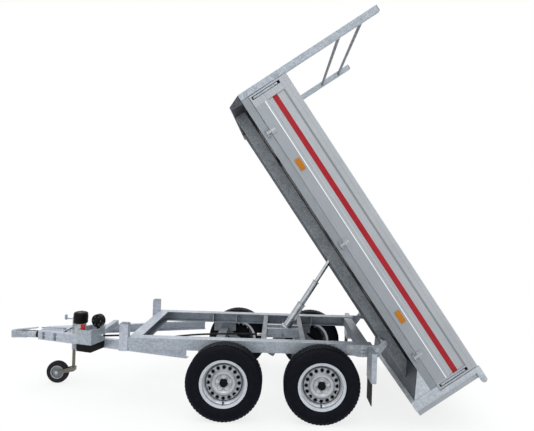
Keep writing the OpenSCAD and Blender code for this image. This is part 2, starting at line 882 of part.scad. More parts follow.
module bed_floor() {
  rear = bed_rear - rear_beam_l;
  color(dark_steel) on_bed()
    translate([-rear, edge_w - edge_out, floor_top - floor_t])
      cube([rear + bed_front - rack_post_w, 2 * (edge_out - edge_w), floor_t]);
}

// Places of the three drop-side hinges along the bed
board_rear = board_gap - bed_rear;
board_front = bed_front - rack_post_w - board_gap;
side_hinges = [
  board_rear + side_hinge_ends, (board_rear + board_front) / 2, board_front - side_hinge_ends
];

module bed_edges() {
  rear = bed_rear - rear_beam_l;
  color(alloy) on_bed() both_sides() union() {
    translate([-rear, edge_out - edge_w, deck_low])
      cube([rear + bed_front - rack_post_w, edge_w, floor_top - deck_low]);
    for (u = side_hinges) {
      for (s = [-1, 1])
        translate([u + s * knuckle_l - knuckle_l / 2 + s * knuckle_gap, 0, hinge_n]) {
          translate([0, hinge_y, 0]) rotate([0, 90, 0]) cylinder(r = knuckle_r, h = knuckle_l);
          translate([0, edge_out, -knuckle_r]) cube([knuckle_l, hinge_y - edge_out, knuckle_r]);
        }
      translate([u - knuckle_l, hinge_y, hinge_n])
        rotate([0, 90, 0]) cylinder(r = side_pin_r, h = 2 * knuckle_l);
    }
  }
}

module bed_front_beam() {
  y = edge_out - gusset_t;
  color(dark_steel) on_bed()
    plate_xz([
      [front_beam_rear, deck_low], [front_beam_rear, front_beam_low],
      [bed_front - front_chamfer, front_beam_low], [bed_front, deck_low - rail_t], [bed_front, deck_low]
    ], -y, 2 * y);
}

module bed_rear_frame() {
  color(steel) on_bed() union() {
    translate([-bed_rear, -bed_half, rear_frame_low])
      cube([rear_beam_l, 2 * bed_half, floor_top - rear_frame_low]);
    plate_xz([
      [-gusset_front, deck_low], [-bed_rear, rear_frame_low],
      [-bed_rear, rear_frame_low + apron_rise], [-gusset_front - apron_rise, deck_low]
    ], gusset_t - edge_out, 2 * (edge_out - gusset_t));
    both_sides() {
      plate_xz([
        [-gusset_front, deck_low], [-bed_rear, rear_frame_low], [-bed_rear, deck_low]
      ], edge_out - gusset_t, gusset_t);
      translate([-bed_rear - rear_post_l, bed_half - rear_post_w, rear_frame_low])
        cube([rear_post_l, rear_post_w, board_top - rear_frame_low]);
      difference() {
        union() {
          translate([tail_pin_u, bed_half - ear_t, tail_pin_n - ear_r])
            cube([-bed_rear - tail_pin_u, ear_t, 2 * ear_r]);
          translate([tail_pin_u, 0, tail_pin_n]) bar_y(ear_r, bed_half - ear_t, bed_half);
        }
        translate([tail_pin_u, 0, tail_pin_n])
          bar_y(tail_pin_r + pin_gap, bed_half - ear_t - overrun, bed_half + overrun);
      }
    }
  }
}

module front_board() {
  y = bed_half - rack_post_w;
  color(alloy) on_bed()
    translate([bed_front - rack_post_w, -y, deck_low]) cube([board_t, 2 * y, board_top - deck_low]);
}

module rack_posts() {
  color(steel) on_bed() both_sides()
    translate([bed_front - rack_post_w, bed_half - rack_post_w, deck_low])
      cube([rack_post_w, rack_post_w, rack_top - deck_low]);
}

module rack_bars() {
  y = bed_half - rack_post_w;
  color(dark_steel) on_bed()
    for (n = rack_bar_n)
      translate([bed_front - rack_post_w / 2, 0, n]) bar_y(rack_bar_r, -y, y);
}

// Section of a side board: the outer face carries a recessed band between sloped walls
band_low_share = 0.33;
band_high_share = 0.78;
band_depth = 8;
band_slope = 15;
board_chamfer = 4;
latch_depth = 12;
latch_w = 26;
latch_h = 250;
latch_low = 14;
latch_from_end = 26;
band_rear_cap = 50;
band_front_cap = 95;
module side_board() {
  h = board_top - board_low;
  low = board_low + h * band_low_share;
  high = board_low + h * band_high_share;
  in = bed_half - board_t;
  difference() {
    union() {
      translate([board_rear, 0, 0]) rotate([90, 0, 90]) linear_extrude(board_front - board_rear) polygon([
        [in, board_low], [bed_half, board_low], [bed_half, low], [bed_half - band_depth, low + band_slope],
        [bed_half - band_depth, high - band_slope], [bed_half, high], [bed_half, board_top - board_chamfer],
        [bed_half - board_chamfer, board_top], [in, board_top]
      ]);
      translate([board_rear, in, low - band_slope])
        cube([band_rear_cap, board_t, high - low + 2 * band_slope]);
      translate([board_front - band_front_cap, in, low - band_slope])
        cube([band_front_cap, board_t, high - low + 2 * band_slope]);
      for (u = side_hinges) {
        translate([u - leaf_l / 2, bed_half - leaf_t, board_low]) cube([leaf_l, 2 * leaf_t, leaf_top]);
        translate([u - knuckle_l / 2, bed_half, hinge_n])
          cube([knuckle_l, leaf_t, leaf_top]);
        translate([u - knuckle_l / 2, hinge_y, hinge_n])
          rotate([0, 90, 0]) cylinder(r = knuckle_r, h = knuckle_l);
      }
    }
    for (u = [board_rear + latch_from_end, board_front - latch_from_end])
      translate([u - latch_w / 2, bed_half - latch_depth, board_low + latch_low])
        cube([latch_w, latch_depth + overrun, latch_h]);
    for (u = side_hinges)
      translate([u - knuckle_l, hinge_y, hinge_n])
        rotate([0, 90, 0]) cylinder(r = side_pin_r + pin_gap, h = 2 * knuckle_l);
  }
}

module side_board_left() { color(alloy) on_bed() side_board(); }
module side_board_right() { color(alloy) on_bed() mirror([0, 1, 0]) side_board(); }

module tailgate() {
  u1 = -(bed_rear + rear_post_l + tail_gap);
  rib_w = 60;
  rib_share = 0.5;
  color(alloy) on_bed() union() {
    translate([u1 - tail_t * rib_share, -tail_half, tail_low])
      cube([tail_t * rib_share, 2 * tail_half, board_top - tail_low]);
    for (y = [-tail_half, -rib_w / 2, tail_half - rib_w])
      translate([u1 - tail_t, y, tail_low]) cube([tail_t, rib_w, board_top - tail_low]);
    both_sides() {
      translate([tail_pin_u, tail_half - rib_w / 2, tail_pin_n - ear_r / 2])
        cube([u1 - tail_pin_u - tail_t / 2, rib_w / 2, ear_r]);
      translate([tail_pin_u, 0, tail_pin_n]) {
        bar_y(ear_r / 2, tail_half - rib_w / 2, tail_half);
        bar_y(tail_pin_r, tail_half - rib_w / 2, bed_half);
      }
    }
  }
}

module cylinder_barrel() {
  color(dark_steel) on_cylinder() difference() {
    union() {
      translate([0, 0, barrel_low]) cylinder(r = stage_r[0], h = barrel_top - barrel_low);
      bar_y(trunnion_r, -cradle_in - cradle_t, cradle_in + cradle_t);
    }
    translate([0, 0, barrel_low + stage_wall])
      cylinder(r = stage_r[1] + running_gap, h = barrel_top - barrel_low);
  }
}

// Stage i slides out of stage i - 1; its top carries a lip
module cylinder_stage(i) {
  top = barrel_top + i * (stage_lip + stage_out);
  color(alloy) on_cylinder() difference() {
    translate([0, 0, top - stage_len]) cylinder(r = stage_r[i], h = stage_len);
    translate([0, 0, top - stage_len - overrun])
      cylinder(r = stage_r[i + 1] + running_gap, h = stage_len + 2 * overrun);
  }
}

module cylinder_stage_3() {
  top = barrel_top + 2 * (stage_lip + stage_out) + stage_out;
  color(alloy) on_cylinder() union() {
    translate([0, 0, top - stage_out - stage_overlap])
      cylinder(r = stage_r[stages], h = cyl_len - top + stage_out + stage_overlap);
    translate([0, 0, cyl_len]) sphere(r = ball_r);
  }
}

chassis_rails();
front_crossmember();
rear_crossmember();
cradle_crossmembers();
cradle_bearers();
bed_rest_posts();
hinge_brackets();
drawbar_beams();
drawbar_ties();
overrun_housing();
coupling_head();
coupling_gaiter();
handbrake_lever();
pump_tray();
pump_tank();
pump_motor();
pump_manifold();
pump_valve();
isolator_switch();
hydraulic_hose();
axles();
mudflap_carriers();
mudflaps();
rear_lamps();
jockey_tube();
jockey_crank();
jockey_leg();
jockey_fork();
jockey_rim();
jockey_tyre();
tyre(axle_front_x, 1);  // tyre_fl
tyre(axle_front_x, -1);  // tyre_fr
tyre(axle_rear_x, 1);  // tyre_rl
tyre(axle_rear_x, -1);  // tyre_rr
rim(axle_front_x, 1);  // rim_fl
rim(axle_front_x, -1);  // rim_fr
rim(axle_rear_x, 1);  // rim_rl
rim(axle_rear_x, -1);  // rim_rr
drum(axle_front_x, 1);  // drum_fl
drum(axle_front_x, -1);  // drum_fr
drum(axle_rear_x, 1);  // drum_rl
drum(axle_rear_x, -1);  // drum_rr
bed_runners();
bed_crossmembers();
cylinder_seat();
bed_floor();
bed_edges();
bed_front_beam();
bed_rear_frame();
front_board();
rack_posts();
rack_bars();
side_board_left();
side_board_right();
tailgate();
cylinder_barrel();
cylinder_stage(1);  // cylinder_stage_1
cylinder_stage(2);  // cylinder_stage_2
cylinder_stage_3();
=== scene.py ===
import bpy, bmesh, json, math
from mathutils import Matrix, Vector

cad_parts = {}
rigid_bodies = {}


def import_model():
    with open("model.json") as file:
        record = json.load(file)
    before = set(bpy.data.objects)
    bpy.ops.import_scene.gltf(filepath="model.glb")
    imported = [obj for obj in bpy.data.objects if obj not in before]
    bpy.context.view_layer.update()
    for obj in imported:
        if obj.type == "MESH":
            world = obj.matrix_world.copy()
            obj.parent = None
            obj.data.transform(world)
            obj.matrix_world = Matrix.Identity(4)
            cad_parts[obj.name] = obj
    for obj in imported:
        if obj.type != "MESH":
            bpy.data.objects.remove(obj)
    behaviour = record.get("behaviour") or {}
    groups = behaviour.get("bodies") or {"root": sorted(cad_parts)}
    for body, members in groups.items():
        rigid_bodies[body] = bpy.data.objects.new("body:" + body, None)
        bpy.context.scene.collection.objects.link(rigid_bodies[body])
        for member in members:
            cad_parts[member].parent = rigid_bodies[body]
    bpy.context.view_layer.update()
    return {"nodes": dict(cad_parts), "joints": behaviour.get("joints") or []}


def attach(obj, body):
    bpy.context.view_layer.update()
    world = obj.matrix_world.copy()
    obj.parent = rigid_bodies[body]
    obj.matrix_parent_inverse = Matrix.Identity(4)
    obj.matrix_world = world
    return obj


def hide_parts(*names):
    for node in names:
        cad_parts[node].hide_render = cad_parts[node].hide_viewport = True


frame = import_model()

AHEAD, ACROSS, UP = Vector((1, 0, 0)), Vector((0, 1, 0)), Vector((0, 0, 1))
LEVEL = (AHEAD, ACROSS, UP)
SIDES = ((1, "left"), (-1, "right"))

# Pins, axles and slides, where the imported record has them
JOINTS = {joint["name"]: joint for joint in frame["joints"]}


def pivot(joint):
    return Vector(JOINTS[joint]["pos_m"])


HINGE, TAIL_PIN = pivot("bed_tip"), pivot("tailgate_swing")
WHEEL_SIDES = {"fl": 1, "fr": -1, "rl": 1, "rr": -1}
WHEELS = {key: pivot("wheel_spin_" + key) for key in WHEEL_SIDES}
TYRE_R = WHEELS["fl"].z
JOCKEY_LEG, JOCKEY_AXLE = pivot("jockey_swivel"), pivot("jockey_spin")
TRUNNION = pivot("cylinder_swing")
SLIDE_X, _, SLIDE_Z = JOINTS["stage_1_slide"]["axis"]
LEAN = math.atan2(SLIDE_X, -SLIDE_Z)

# Tipped bed: u along it from the hinge, n above it
TIP = math.radians(JOINTS["bed_tip"]["range_deg"][1])
COS, SIN = math.cos(TIP), math.sin(TIP)
BED_AXES = (Vector((COS, 0, SIN)), ACROSS, Vector((-SIN, 0, COS)))
BED_HALF, FLOOR_TOP = 0.785, 0.151
BAND_MIDDLE, BAND_HALF, BAND_SKIN = 0.8525, 1.2565, 0.01

# Left drawbar beam, with the pump unit along it and out from it
BEAM_ALONG, BEAM_OUT = Vector((0.956592, -0.29143, 0)), Vector((0.29143, 0.956592, 0))
PUMP = Vector((2.339995, 0.292639, 0))

# Wheel disc: its holes, their ring, the flange and the ring of bolts
DISC_HOLES, DISC_RING, FLANGE_R, BOLT_RING = 16, 0.12, 0.1665, 0.048


def chassis(x, y, z):
    """Place on the chassis, with x from the bed's hinge"""
    return Vector((x + HINGE.x, y, z))


def bed(u, y, n):
    return Vector((HINGE.x + u * COS - n * SIN, y, HINGE.z + u * SIN + n * COS))


def pump(along, out, z):
    spot = PUMP + BEAM_ALONG * along + BEAM_OUT * out
    return chassis(spot.x, spot.y, z)


def facing(place, direction):
    return Matrix.Translation(place) @ direction.to_track_quat("Z", "Y").to_matrix().to_4x4()


def around(count, radius, start=0.0):
    """Cosine and sine offsets of the points of a ring"""
    angles = [math.tau * k / count + start for k in range(count)]
    return [(radius * math.cos(angle), radius * math.sin(angle)) for angle in angles]


def put(name, data):
    obj = bpy.data.objects.new(name, data)
    bpy.context.collection.objects.link(obj)
    return obj


# Nodes: a socket with operators for the maths, and one method for every other node
class Value:
    def __init__(self, nodes, socket):
        self.nodes, self.socket = nodes, socket

    def __add__(self, other):
        return self.nodes.math("ADD", self, other)

    def __radd__(self, other):
        return self.nodes.math("ADD", other, self)

    def __sub__(self, other):
        return self.nodes.math("SUBTRACT", self, other)

    def __rsub__(self, other):
        return self.nodes.math("SUBTRACT", other, self)

    def __mul__(self, other):
        return self.nodes.math("MULTIPLY", self, other)

    def __rmul__(self, other):
        return self.nodes.math("MULTIPLY", other, self)

    def __gt__(self, other):
        return self.nodes.math("GREATER_THAN", self, other)

    def __lt__(self, other):
        return self.nodes.math("LESS_THAN", self, other)


def set_stops(ramp, stops):
    while len(ramp.elements) < len(stops):
        ramp.elements.new(0.5)
    for element, (at, colour) in zip(ramp.elements, stops):
        element.position, element.color = at, (*colour, 1)


class Nodes:
    """Nodes of the world, of a material or of a shape"""
    def __init__(self, tree):
        self.tree = tree

    def node(self, kind, settings=None, ins=None, out=0):
        made = self.tree.nodes.new(kind)
        for key, setting in (settings or {}).items():
            if key == "stops":
                set_stops(made.color_ramp, setting)
            else:
                setattr(made, key, setting)
        for key, given in (ins or {}).items():
            for one in given if isinstance(given, list) else [given]:
                if isinstance(one, Value):
                    self.tree.links.new(one.socket, made.inputs[key])
                else:
                    made.inputs[key].default_value = one
        return Value(self, made.outputs[out]) if made.outputs else None

    def math(self, operation, a, b=0.0, clamp=False):
        return self.node("ShaderNodeMath", {"operation": operation, "use_clamp": clamp}, {0: a, 1: b})

    def join(self, x, y, z):
        return self.node("ShaderNodeCombineXYZ", None, {0: x, 1: y, 2: z})

    def seen_directly(self):
        """1 for rays from the camera, a mirror or glass, 0 for the light on the object"""
        total = self.node("ShaderNodeLightPath", out="Is Camera Ray")
        for ray in ("Is Glossy Ray", "Is Transmission Ray"):
            total = self.math("ADD", total, self.node("ShaderNodeLightPath", out=ray), clamp=True)
        return total


# Camera at the photograph's viewing angle
EYE = (-0.390, 4.51, 1.64)
EYE_ROLL = math.radians(1.8)
SENSOR_MM, LENS_MM = 36, 33.03
LENS_SHIFT = (-0.0206, -0.0084)


def set_camera():
    cam = bpy.data.cameras.new("photo_camera")
    cam.sensor_width, cam.lens = SENSOR_MM, LENS_MM
    cam.shift_x, cam.shift_y = LENS_SHIFT
    eye = put("photo_camera", cam)
    c, s = math.cos(EYE_ROLL), math.sin(EYE_ROLL)
    x, y, z = EYE
    eye.matrix_world = Matrix(((-c, s, 0, x), (0, 0, 1, y), (s, c, 0, z), (0, 0, 0, 1)))
    bpy.context.scene.camera = eye


# Soft studio lamps: name, place, size, power
LAMPS = (
    ("sky", (0.4, 0.6, 14.0), 20.0, 2300),
    ("key", (2.6, 5.5, 4.2), 6.0, 100),
    ("fill", (-4.5, 4.5, 3.0), 5.5, 62),
    ("back", (0, -5.5, 4.0), 6.0, 45),
)
LIT_POINT = Vector((-0.1, 0, 1.0))
SOFT_COLOUR, SOFT_STRENGTH = (0.88, 0.94, 1.0, 1), 0.42
WHITE = (1, 1, 1, 1)


def set_light():
    scene = bpy.context.scene
    scene.view_settings.view_transform = "Standard"
    scene.world = bpy.data.worlds.new("studio")
    scene.world.use_nodes = True
    studio = Nodes(scene.world.node_tree)
    studio.tree.nodes.clear()
    soft = studio.node("ShaderNodeBackground", None, {"Color": SOFT_COLOUR, "Strength": SOFT_STRENGTH})
    white = studio.node("ShaderNodeBackground", None, {"Color": WHITE})
    both = studio.node("ShaderNodeMixShader", None, {0: studio.seen_directly(), 1: soft, 2: white})
    studio.node("ShaderNodeOutputWorld", None, {0: both})
    for name, place, size, power in LAMPS:
        light = bpy.data.lights.new(name, "AREA")
        light.size, light.energy = size, power
        lamp = put(name, light)
        lamp.location = place
        lamp.rotation_euler = (LIT_POINT - Vector(place)).to_track_quat("-Z", "Y").to_euler()


# Finishes
class Look(Nodes):
    """One material; what is the same all over it is set on the shader's own socket"""
    def __init__(self, name, **fixed):
        self.mat = bpy.data.materials.new(name)
        self.mat.use_nodes = True
        super().__init__(self.mat.node_tree)
        self.shader = self.tree.nodes["Principled BSDF"]
        for key, number in fixed.items():
            self.shader.inputs[key.replace("_", " ")].default_value = number
        self.place = self.node("ShaderNodeTexCoord", out="Object")

    def set(self, socket, value):
        self.tree.links.new(value.socket, self.shader.inputs[socket])

    def noise(self, scale, detail=3.0, place=None, rough=0.55):
        return self.node("ShaderNodeTexNoise", None, {
            "Vector": place or self.place, "Scale": scale, "Detail": detail, "Roughness": rough})

    def clamp(self, value, low, high, to_low=0.0, to_high=1.0):
        return self.node("ShaderNodeMapRange", {"clamp": True},
                         {0: value, 1: low, 2: high, 3: to_low, 4: to_high})

    def mix(self, factor, a, b):
        return self.node("ShaderNodeMix", {"data_type": "RGBA"},
                         {0: factor, 6: a if isinstance(a, Value) else (*a, 1),
                          7: b if isinstance(b, Value) else (*b, 1)}, out=2)

    def ramp(self, value, *stops):
        return self.node("ShaderNodeValToRGB", {"stops": stops}, {0: value})

    def axes(self, place=None):
        first = self.node("ShaderNodeSeparateXYZ", None, {0: place or self.place})
        return [Value(self, socket) for socket in first.socket.node.outputs]

    def bed_axes(self):
        x, y, z = self.axes()
        dx, dz = x - HINGE.x, z - HINGE.z
        return dx * COS + dz * SIN, y, dz * COS - dx * SIN

    def line(self, value, at, half):
        """1 within half of a value, 0 elsewhere"""
        return self.math("ABSOLUTE", value - at) < half

    def bump(self, height, strength, distance=0.001):
        self.set("Normal", self.node("ShaderNodeBump", None,
                                     {"Height": height, "Strength": strength, "Distance": distance}))


# Painted shade: near black under the deck's edge, and blue-grey on faces turned under the bed
UNDER_DECK_SHADE, UNDERSIDE_SHADE = (0.012, 0.013, 0.015), (0.012, 0.028, 0.048)


def zinc(name, pale, dark, rough, metallic=0.4, spangle=90,
         painted_shade_above=None, painted_shade_below=False, gloss=0.5):
    """Mottled galvanising; painted shade can be added past a height of the bed, and on faces turned
    under the bed
    """
    look = Look(name, Metallic=metallic, Specular_IOR_Level=gloss)
    cells = look.node("ShaderNodeTexVoronoi", None,
                      {"Vector": look.place, "Scale": spangle, "Randomness": 1.0}, out="Color")
    flake = look.axes(cells)[0]
    cloud = look.noise(7, 5)
    fine = look.noise(420, 2)
    tone = cloud * 0.5 + flake * 0.36 + fine * 0.14
    middle = tuple((p + d) / 2 for p, d in zip(pale, dark))
    colour = look.ramp(tone, (0.28, dark), (0.5, middle), (0.72, pale))
    run = look.clamp(look.noise(14, 4), 0.62, 0.78)
    colour = look.mix(run * 0.25, colour, tuple(min(1, p * 1.18) for p in pale))
    # Painted shade: near black along the top of the runner, under the deck's edge
    if painted_shade_above is not None:
        colour = look.mix(look.bed_axes()[2] > painted_shade_above, colour, UNDER_DECK_SHADE)
    # Painted shade: blue-grey on faces turned under the bed
    if painted_shade_below:
        nx, _, nz = look.axes(look.node("ShaderNodeTexCoord", out="Normal"))
        under = look.clamp(nx * SIN - nz * COS, 0.3, 0.6)
        colour = look.mix(under * 0.92, colour, UNDERSIDE_SHADE)
    look.set("Base Color", colour)
    look.set("Roughness", look.clamp(tone, 0.25, 0.75, rough + 0.1, rough - 0.08))
    look.bump(flake * 0.4 + fine, 0.12, 0.0006)
    return look.mat


def mill_alloy(name, colour, shade, rough, seams=(), band_light_and_tint=()):
    """Drawn alloy with its grain along the bed, dark seams, and on the pressed band a painted highlight
    on its lower wall, painted shade on its upper wall and a darker face below it
    """
    look = Look(name, Metallic=0.45)
    u, y, n = look.bed_axes()
    drawn = look.noise(1.0, 3, look.join(u * 2.5, y * 420, n * 420))
    cloud = look.noise(3.2, 4)
    scuff = look.clamp(look.noise(1.0, 5, look.join(u * 9, y * 60, n * 60), 0.7), 0.6, 0.75)
    fleck = look.noise(170, 2)
    tone = drawn * 0.3 + cloud * 0.35 + fleck * 0.35
    base = look.ramp(tone, (0.32, shade), (0.68, colour))
    base = look.mix(scuff * 0.25, base, tuple(min(1, c * 1.2) for c in colour))
    height = drawn * 0.3
    for at, half in seams:
        seam = look.line(n, at, half)
        base = look.mix(seam * 0.6, base, tuple(c * 0.45 for c in shade))
        height = height - seam
    # Painted highlight and painted shade on the band's lower and upper wall, and the darker face below
    # it, on the outer face only
    for at, half, tint, share in band_light_and_tint:
        on_wall = look.line(n, at, half) * look.line(u, BAND_MIDDLE, BAND_HALF)
        outside = look.math("ABSOLUTE", y) > BED_HALF - BAND_SKIN
        base = look.mix(on_wall * outside * share, base, tint)
    look.set("Base Color", base)
    look.set("Roughness", look.clamp(drawn, 0.3, 0.7, rough - 0.08, rough + 0.1))
    look.bump(height, 0.3, 0.0008)
    return look.mat


def moulded(name, colour, rough, grain=900, depth=0.2, worn=(0.1, 0.1, 0.1), gloss=0.14):
    look = Look(name, Specular_IOR_Level=gloss)
    fine = look.noise(grain, 2)
    cloud = look.noise(16, 4)
    dust = look.clamp(cloud, 0.5, 0.75)
    look.set("Base Color", look.mix(dust * 0.35, colour, worn))
    look.set("Roughness", look.clamp(cloud, 0.3, 0.7, rough - 0.08, rough + 0.1))
    look.bump(fine, depth, 0.0005)
    return look.mat


def plated(name, colour, rough, metallic=1.0):
    look = Look(name, Metallic=metallic)
    x, y, z = look.axes()
    ring = look.noise(1.0, 2, look.join(x * 90, y * 90, z * 380))
    smear = look.noise(22, 4)
    look.set("Base Color", look.ramp(smear, (0.3, tuple(c * 0.72 for c in colour)), (0.6, colour)))
    look.set("Roughness", look.clamp(ring * 0.5 + smear * 0.5, 0.3, 0.7, rough, rough + 0.16))
    look.bump(ring, 0.06, 0.0004)
    return look.mat


# Brake dust and painted shade of the dish and rim well: radius in fifths of a metre, and its weight
# there
WHEEL_DUST_AND_SHADE = ((0.14, 0.8), (0.29, 0.5), (0.36, 0.2), (0.46, 0.6),
              (0.66, 0.55), (0.73, 0.78), (0.79, 0.3), (0.84, 0.0))
# Painted shade round each hole of the disc, where the pressed edge turns in: where it is full and where
# it ends, and its weight
HOLE_SHADE_IN, HOLE_SHADE_OUT, HOLE_SHADE = 0.0135, 0.0175, 0.75
FLANGE_PAINT, WHEEL_DIRT_AND_SHADE = (0.5, 0.53, 0.58), (0.05, 0.057, 0.066)


def wheel_paint(name):
    """Silver paint, with brake dust and painted shade by radius, painted shade round the holes, and a
    clean flange
    """
    look = Look(name, Metallic=0.45, Coat_Roughness=0.2)
    x, _, z = look.axes()
    rear_x, front_x = WHEELS["rl"].x, WHEELS["fl"].x
    dx = x - rear_x - (x > (rear_x + front_x) / 2) * (front_x - rear_x)
    dz = z - TYRE_R
    radius = look.math("SQRT", dx * dx + dz * dz)
    aside = look.math("PINGPONG", look.math("ARCTAN2", dz, dx), math.pi / DISC_HOLES) * DISC_RING
    outward = radius - DISC_RING
    from_hole = look.math("SQRT", aside * aside + outward * outward)
    # Painted shade round the holes
    hole_shade = look.clamp(from_hole, HOLE_SHADE_IN, HOLE_SHADE_OUT, HOLE_SHADE, 0.0)
    fleck = look.noise(1400, 1)
    dust = look.noise(24, 4)
    base = look.ramp(fleck, (0.35, (0.53, 0.55, 0.58)), (0.65, (0.64, 0.665, 0.7)))
    dust_and_shade = look.ramp(radius * 5, *((at, (grey,) * 3) for at, grey in WHEEL_DUST_AND_SHADE))
    # Brake dust, painted shade of the dish, rim well and hole edges, and dust by noise
    grime = look.axes(dust_and_shade)[0] * 0.8 + look.clamp(dust, 0.5, 0.75) * 0.2 + hole_shade
    base = look.mix(radius > FLANGE_R, base, FLANGE_PAINT)
    look.set("Base Color", look.mix(look.math("MINIMUM", grime, 1.0), base, WHEEL_DIRT_AND_SHADE))
    look.set("Roughness", look.clamp(dust, 0.3, 0.7, 0.32, 0.5))
    look.set("Coat Weight", look.clamp(dust, 0.4, 0.6, 0.25, 0.05))
    look.bump(fleck, 0.05, 0.0003)
    return look.mat


def lens(name, colour, deep):
    look = Look(name, Specular_IOR_Level=0.25)
    prism = look.node("ShaderNodeTexVoronoi", {"distance": "MANHATTAN"},
                      {"Vector": look.join(*look.bed_axes()), "Scale": 260, "Randomness": 0.0},
                      out="Distance")
    look.set("Base Color", look.ramp(prism, (0.05, colour), (0.6, deep)))
    look.set("Roughness", look.clamp(prism, 0.0, 0.7, 0.14, 0.32))
    look.bump(prism, 0.35, 0.001)
    return look.mat


def tape(name):
    look = Look(name, Specular_IOR_Level=0.2)
    cell = look.node("ShaderNodeTexVoronoi", None,
                     {"Vector": look.join(*look.bed_axes()), "Scale": 330, "Randomness": 0.15},
                     out="Distance")
    age = look.noise(11, 4)
    base = look.ramp(age, (0.3, (0.27, 0.006, 0.012)), (0.7, (0.35, 0.009, 0.017)))
    look.set("Base Color", look.mix(look.clamp(cell, 0.35, 0.6) * 0.25, base, (0.52, 0.03, 0.04)))
    look.set("Roughness", look.clamp(age, 0.3, 0.7, 0.3, 0.45))
    look.bump(cell, 0.08, 0.0003)
    return look.mat


def tyre_rubber(name):
    look = Look(name, Specular_IOR_Level=0.085)
    fine = look.noise(700, 2)
    dust = look.noise(26, 5)
    grime = look.clamp(dust, 0.45, 0.72)
    look.set("Base Color", look.mix(grime * 0.4, (0.0017, 0.0026, 0.0058), (0.0105, 0.012, 0.0165)))
    look.set("Roughness", look.clamp(dust, 0.3, 0.7, 0.5, 0.7))
    look.bump(fine, 0.2, 0.0005)
    return look.mat


def floor_board(name):
    """Scraped steel on top; painted shade, near black, below its top face"""
    look = Look(name, Metallic=0.35)
    u, y, n = look.bed_axes()
    scrape = look.noise(1.0, 5, look.join(u * 3, y * 45, n), 0.7)
    cloud = look.noise(4, 4)
    worn = look.ramp(scrape * 0.5 + cloud * 0.5, (0.3, (0.2, 0.2, 0.2)), (0.7, (0.4, 0.41, 0.42)))
    # Painted shade: near black below the floor's top face
    look.set("Base Color", look.mix(n < FLOOR_TOP - 0.001, worn, (0.02, 0.021, 0.023)))
    look.set("Roughness", look.clamp(scrape, 0.3, 0.7, 0.4, 0.6))
    look.bump(scrape, 0.2, 0.0006)
    return look.mat


# White of the paper where it is seen: distances from the trailer, and shares there
PAPER_NEAR, PAPER_FAR, WHITE_NEAR, WHITE_FAR = 2.2, 5.5, 0.8, 1.0


def paper_floor(name):
    look = Look(name, Roughness=0.9)
    pale = look.ramp(look.noise(1.5, 2), (0.3, (0.86, 0.86, 0.86)), (0.7, (0.88, 0.88, 0.88)))
    look.set("Base Color", pale)
    white = look.node("ShaderNodeEmission", None, {"Color": WHITE, "Strength": 1.0})
    x, y, _ = look.axes()
    away = look.math("SQRT", x * x + y * y)
    part = look.seen_directly() * look.clamp(away, PAPER_NEAR, PAPER_FAR, WHITE_NEAR, WHITE_FAR)
    paper = Value(look, look.shader.outputs[0])
    both = look.node("ShaderNodeMixShader", None, {0: part, 1: paper, 2: white})
    look.tree.links.new(both.socket, look.tree.nodes["Material Output"].inputs[0])
    return look.mat


# Tints of the boards' pressed band, lowest first: the face below it darker, a painted highlight on its
# lower wall, painted shade on its upper wall: height, half width, tint, share
BOARD_BAND_LIGHT_AND_TINT = ((0.1985, 0.0425, (0.22, 0.24, 0.275), 0.45),
               (0.2448, 0.0038, (0.82, 0.84, 0.86), 0.9),
               (0.4155, 0.0065, (0.22, 0.235, 0.25), 0.9))
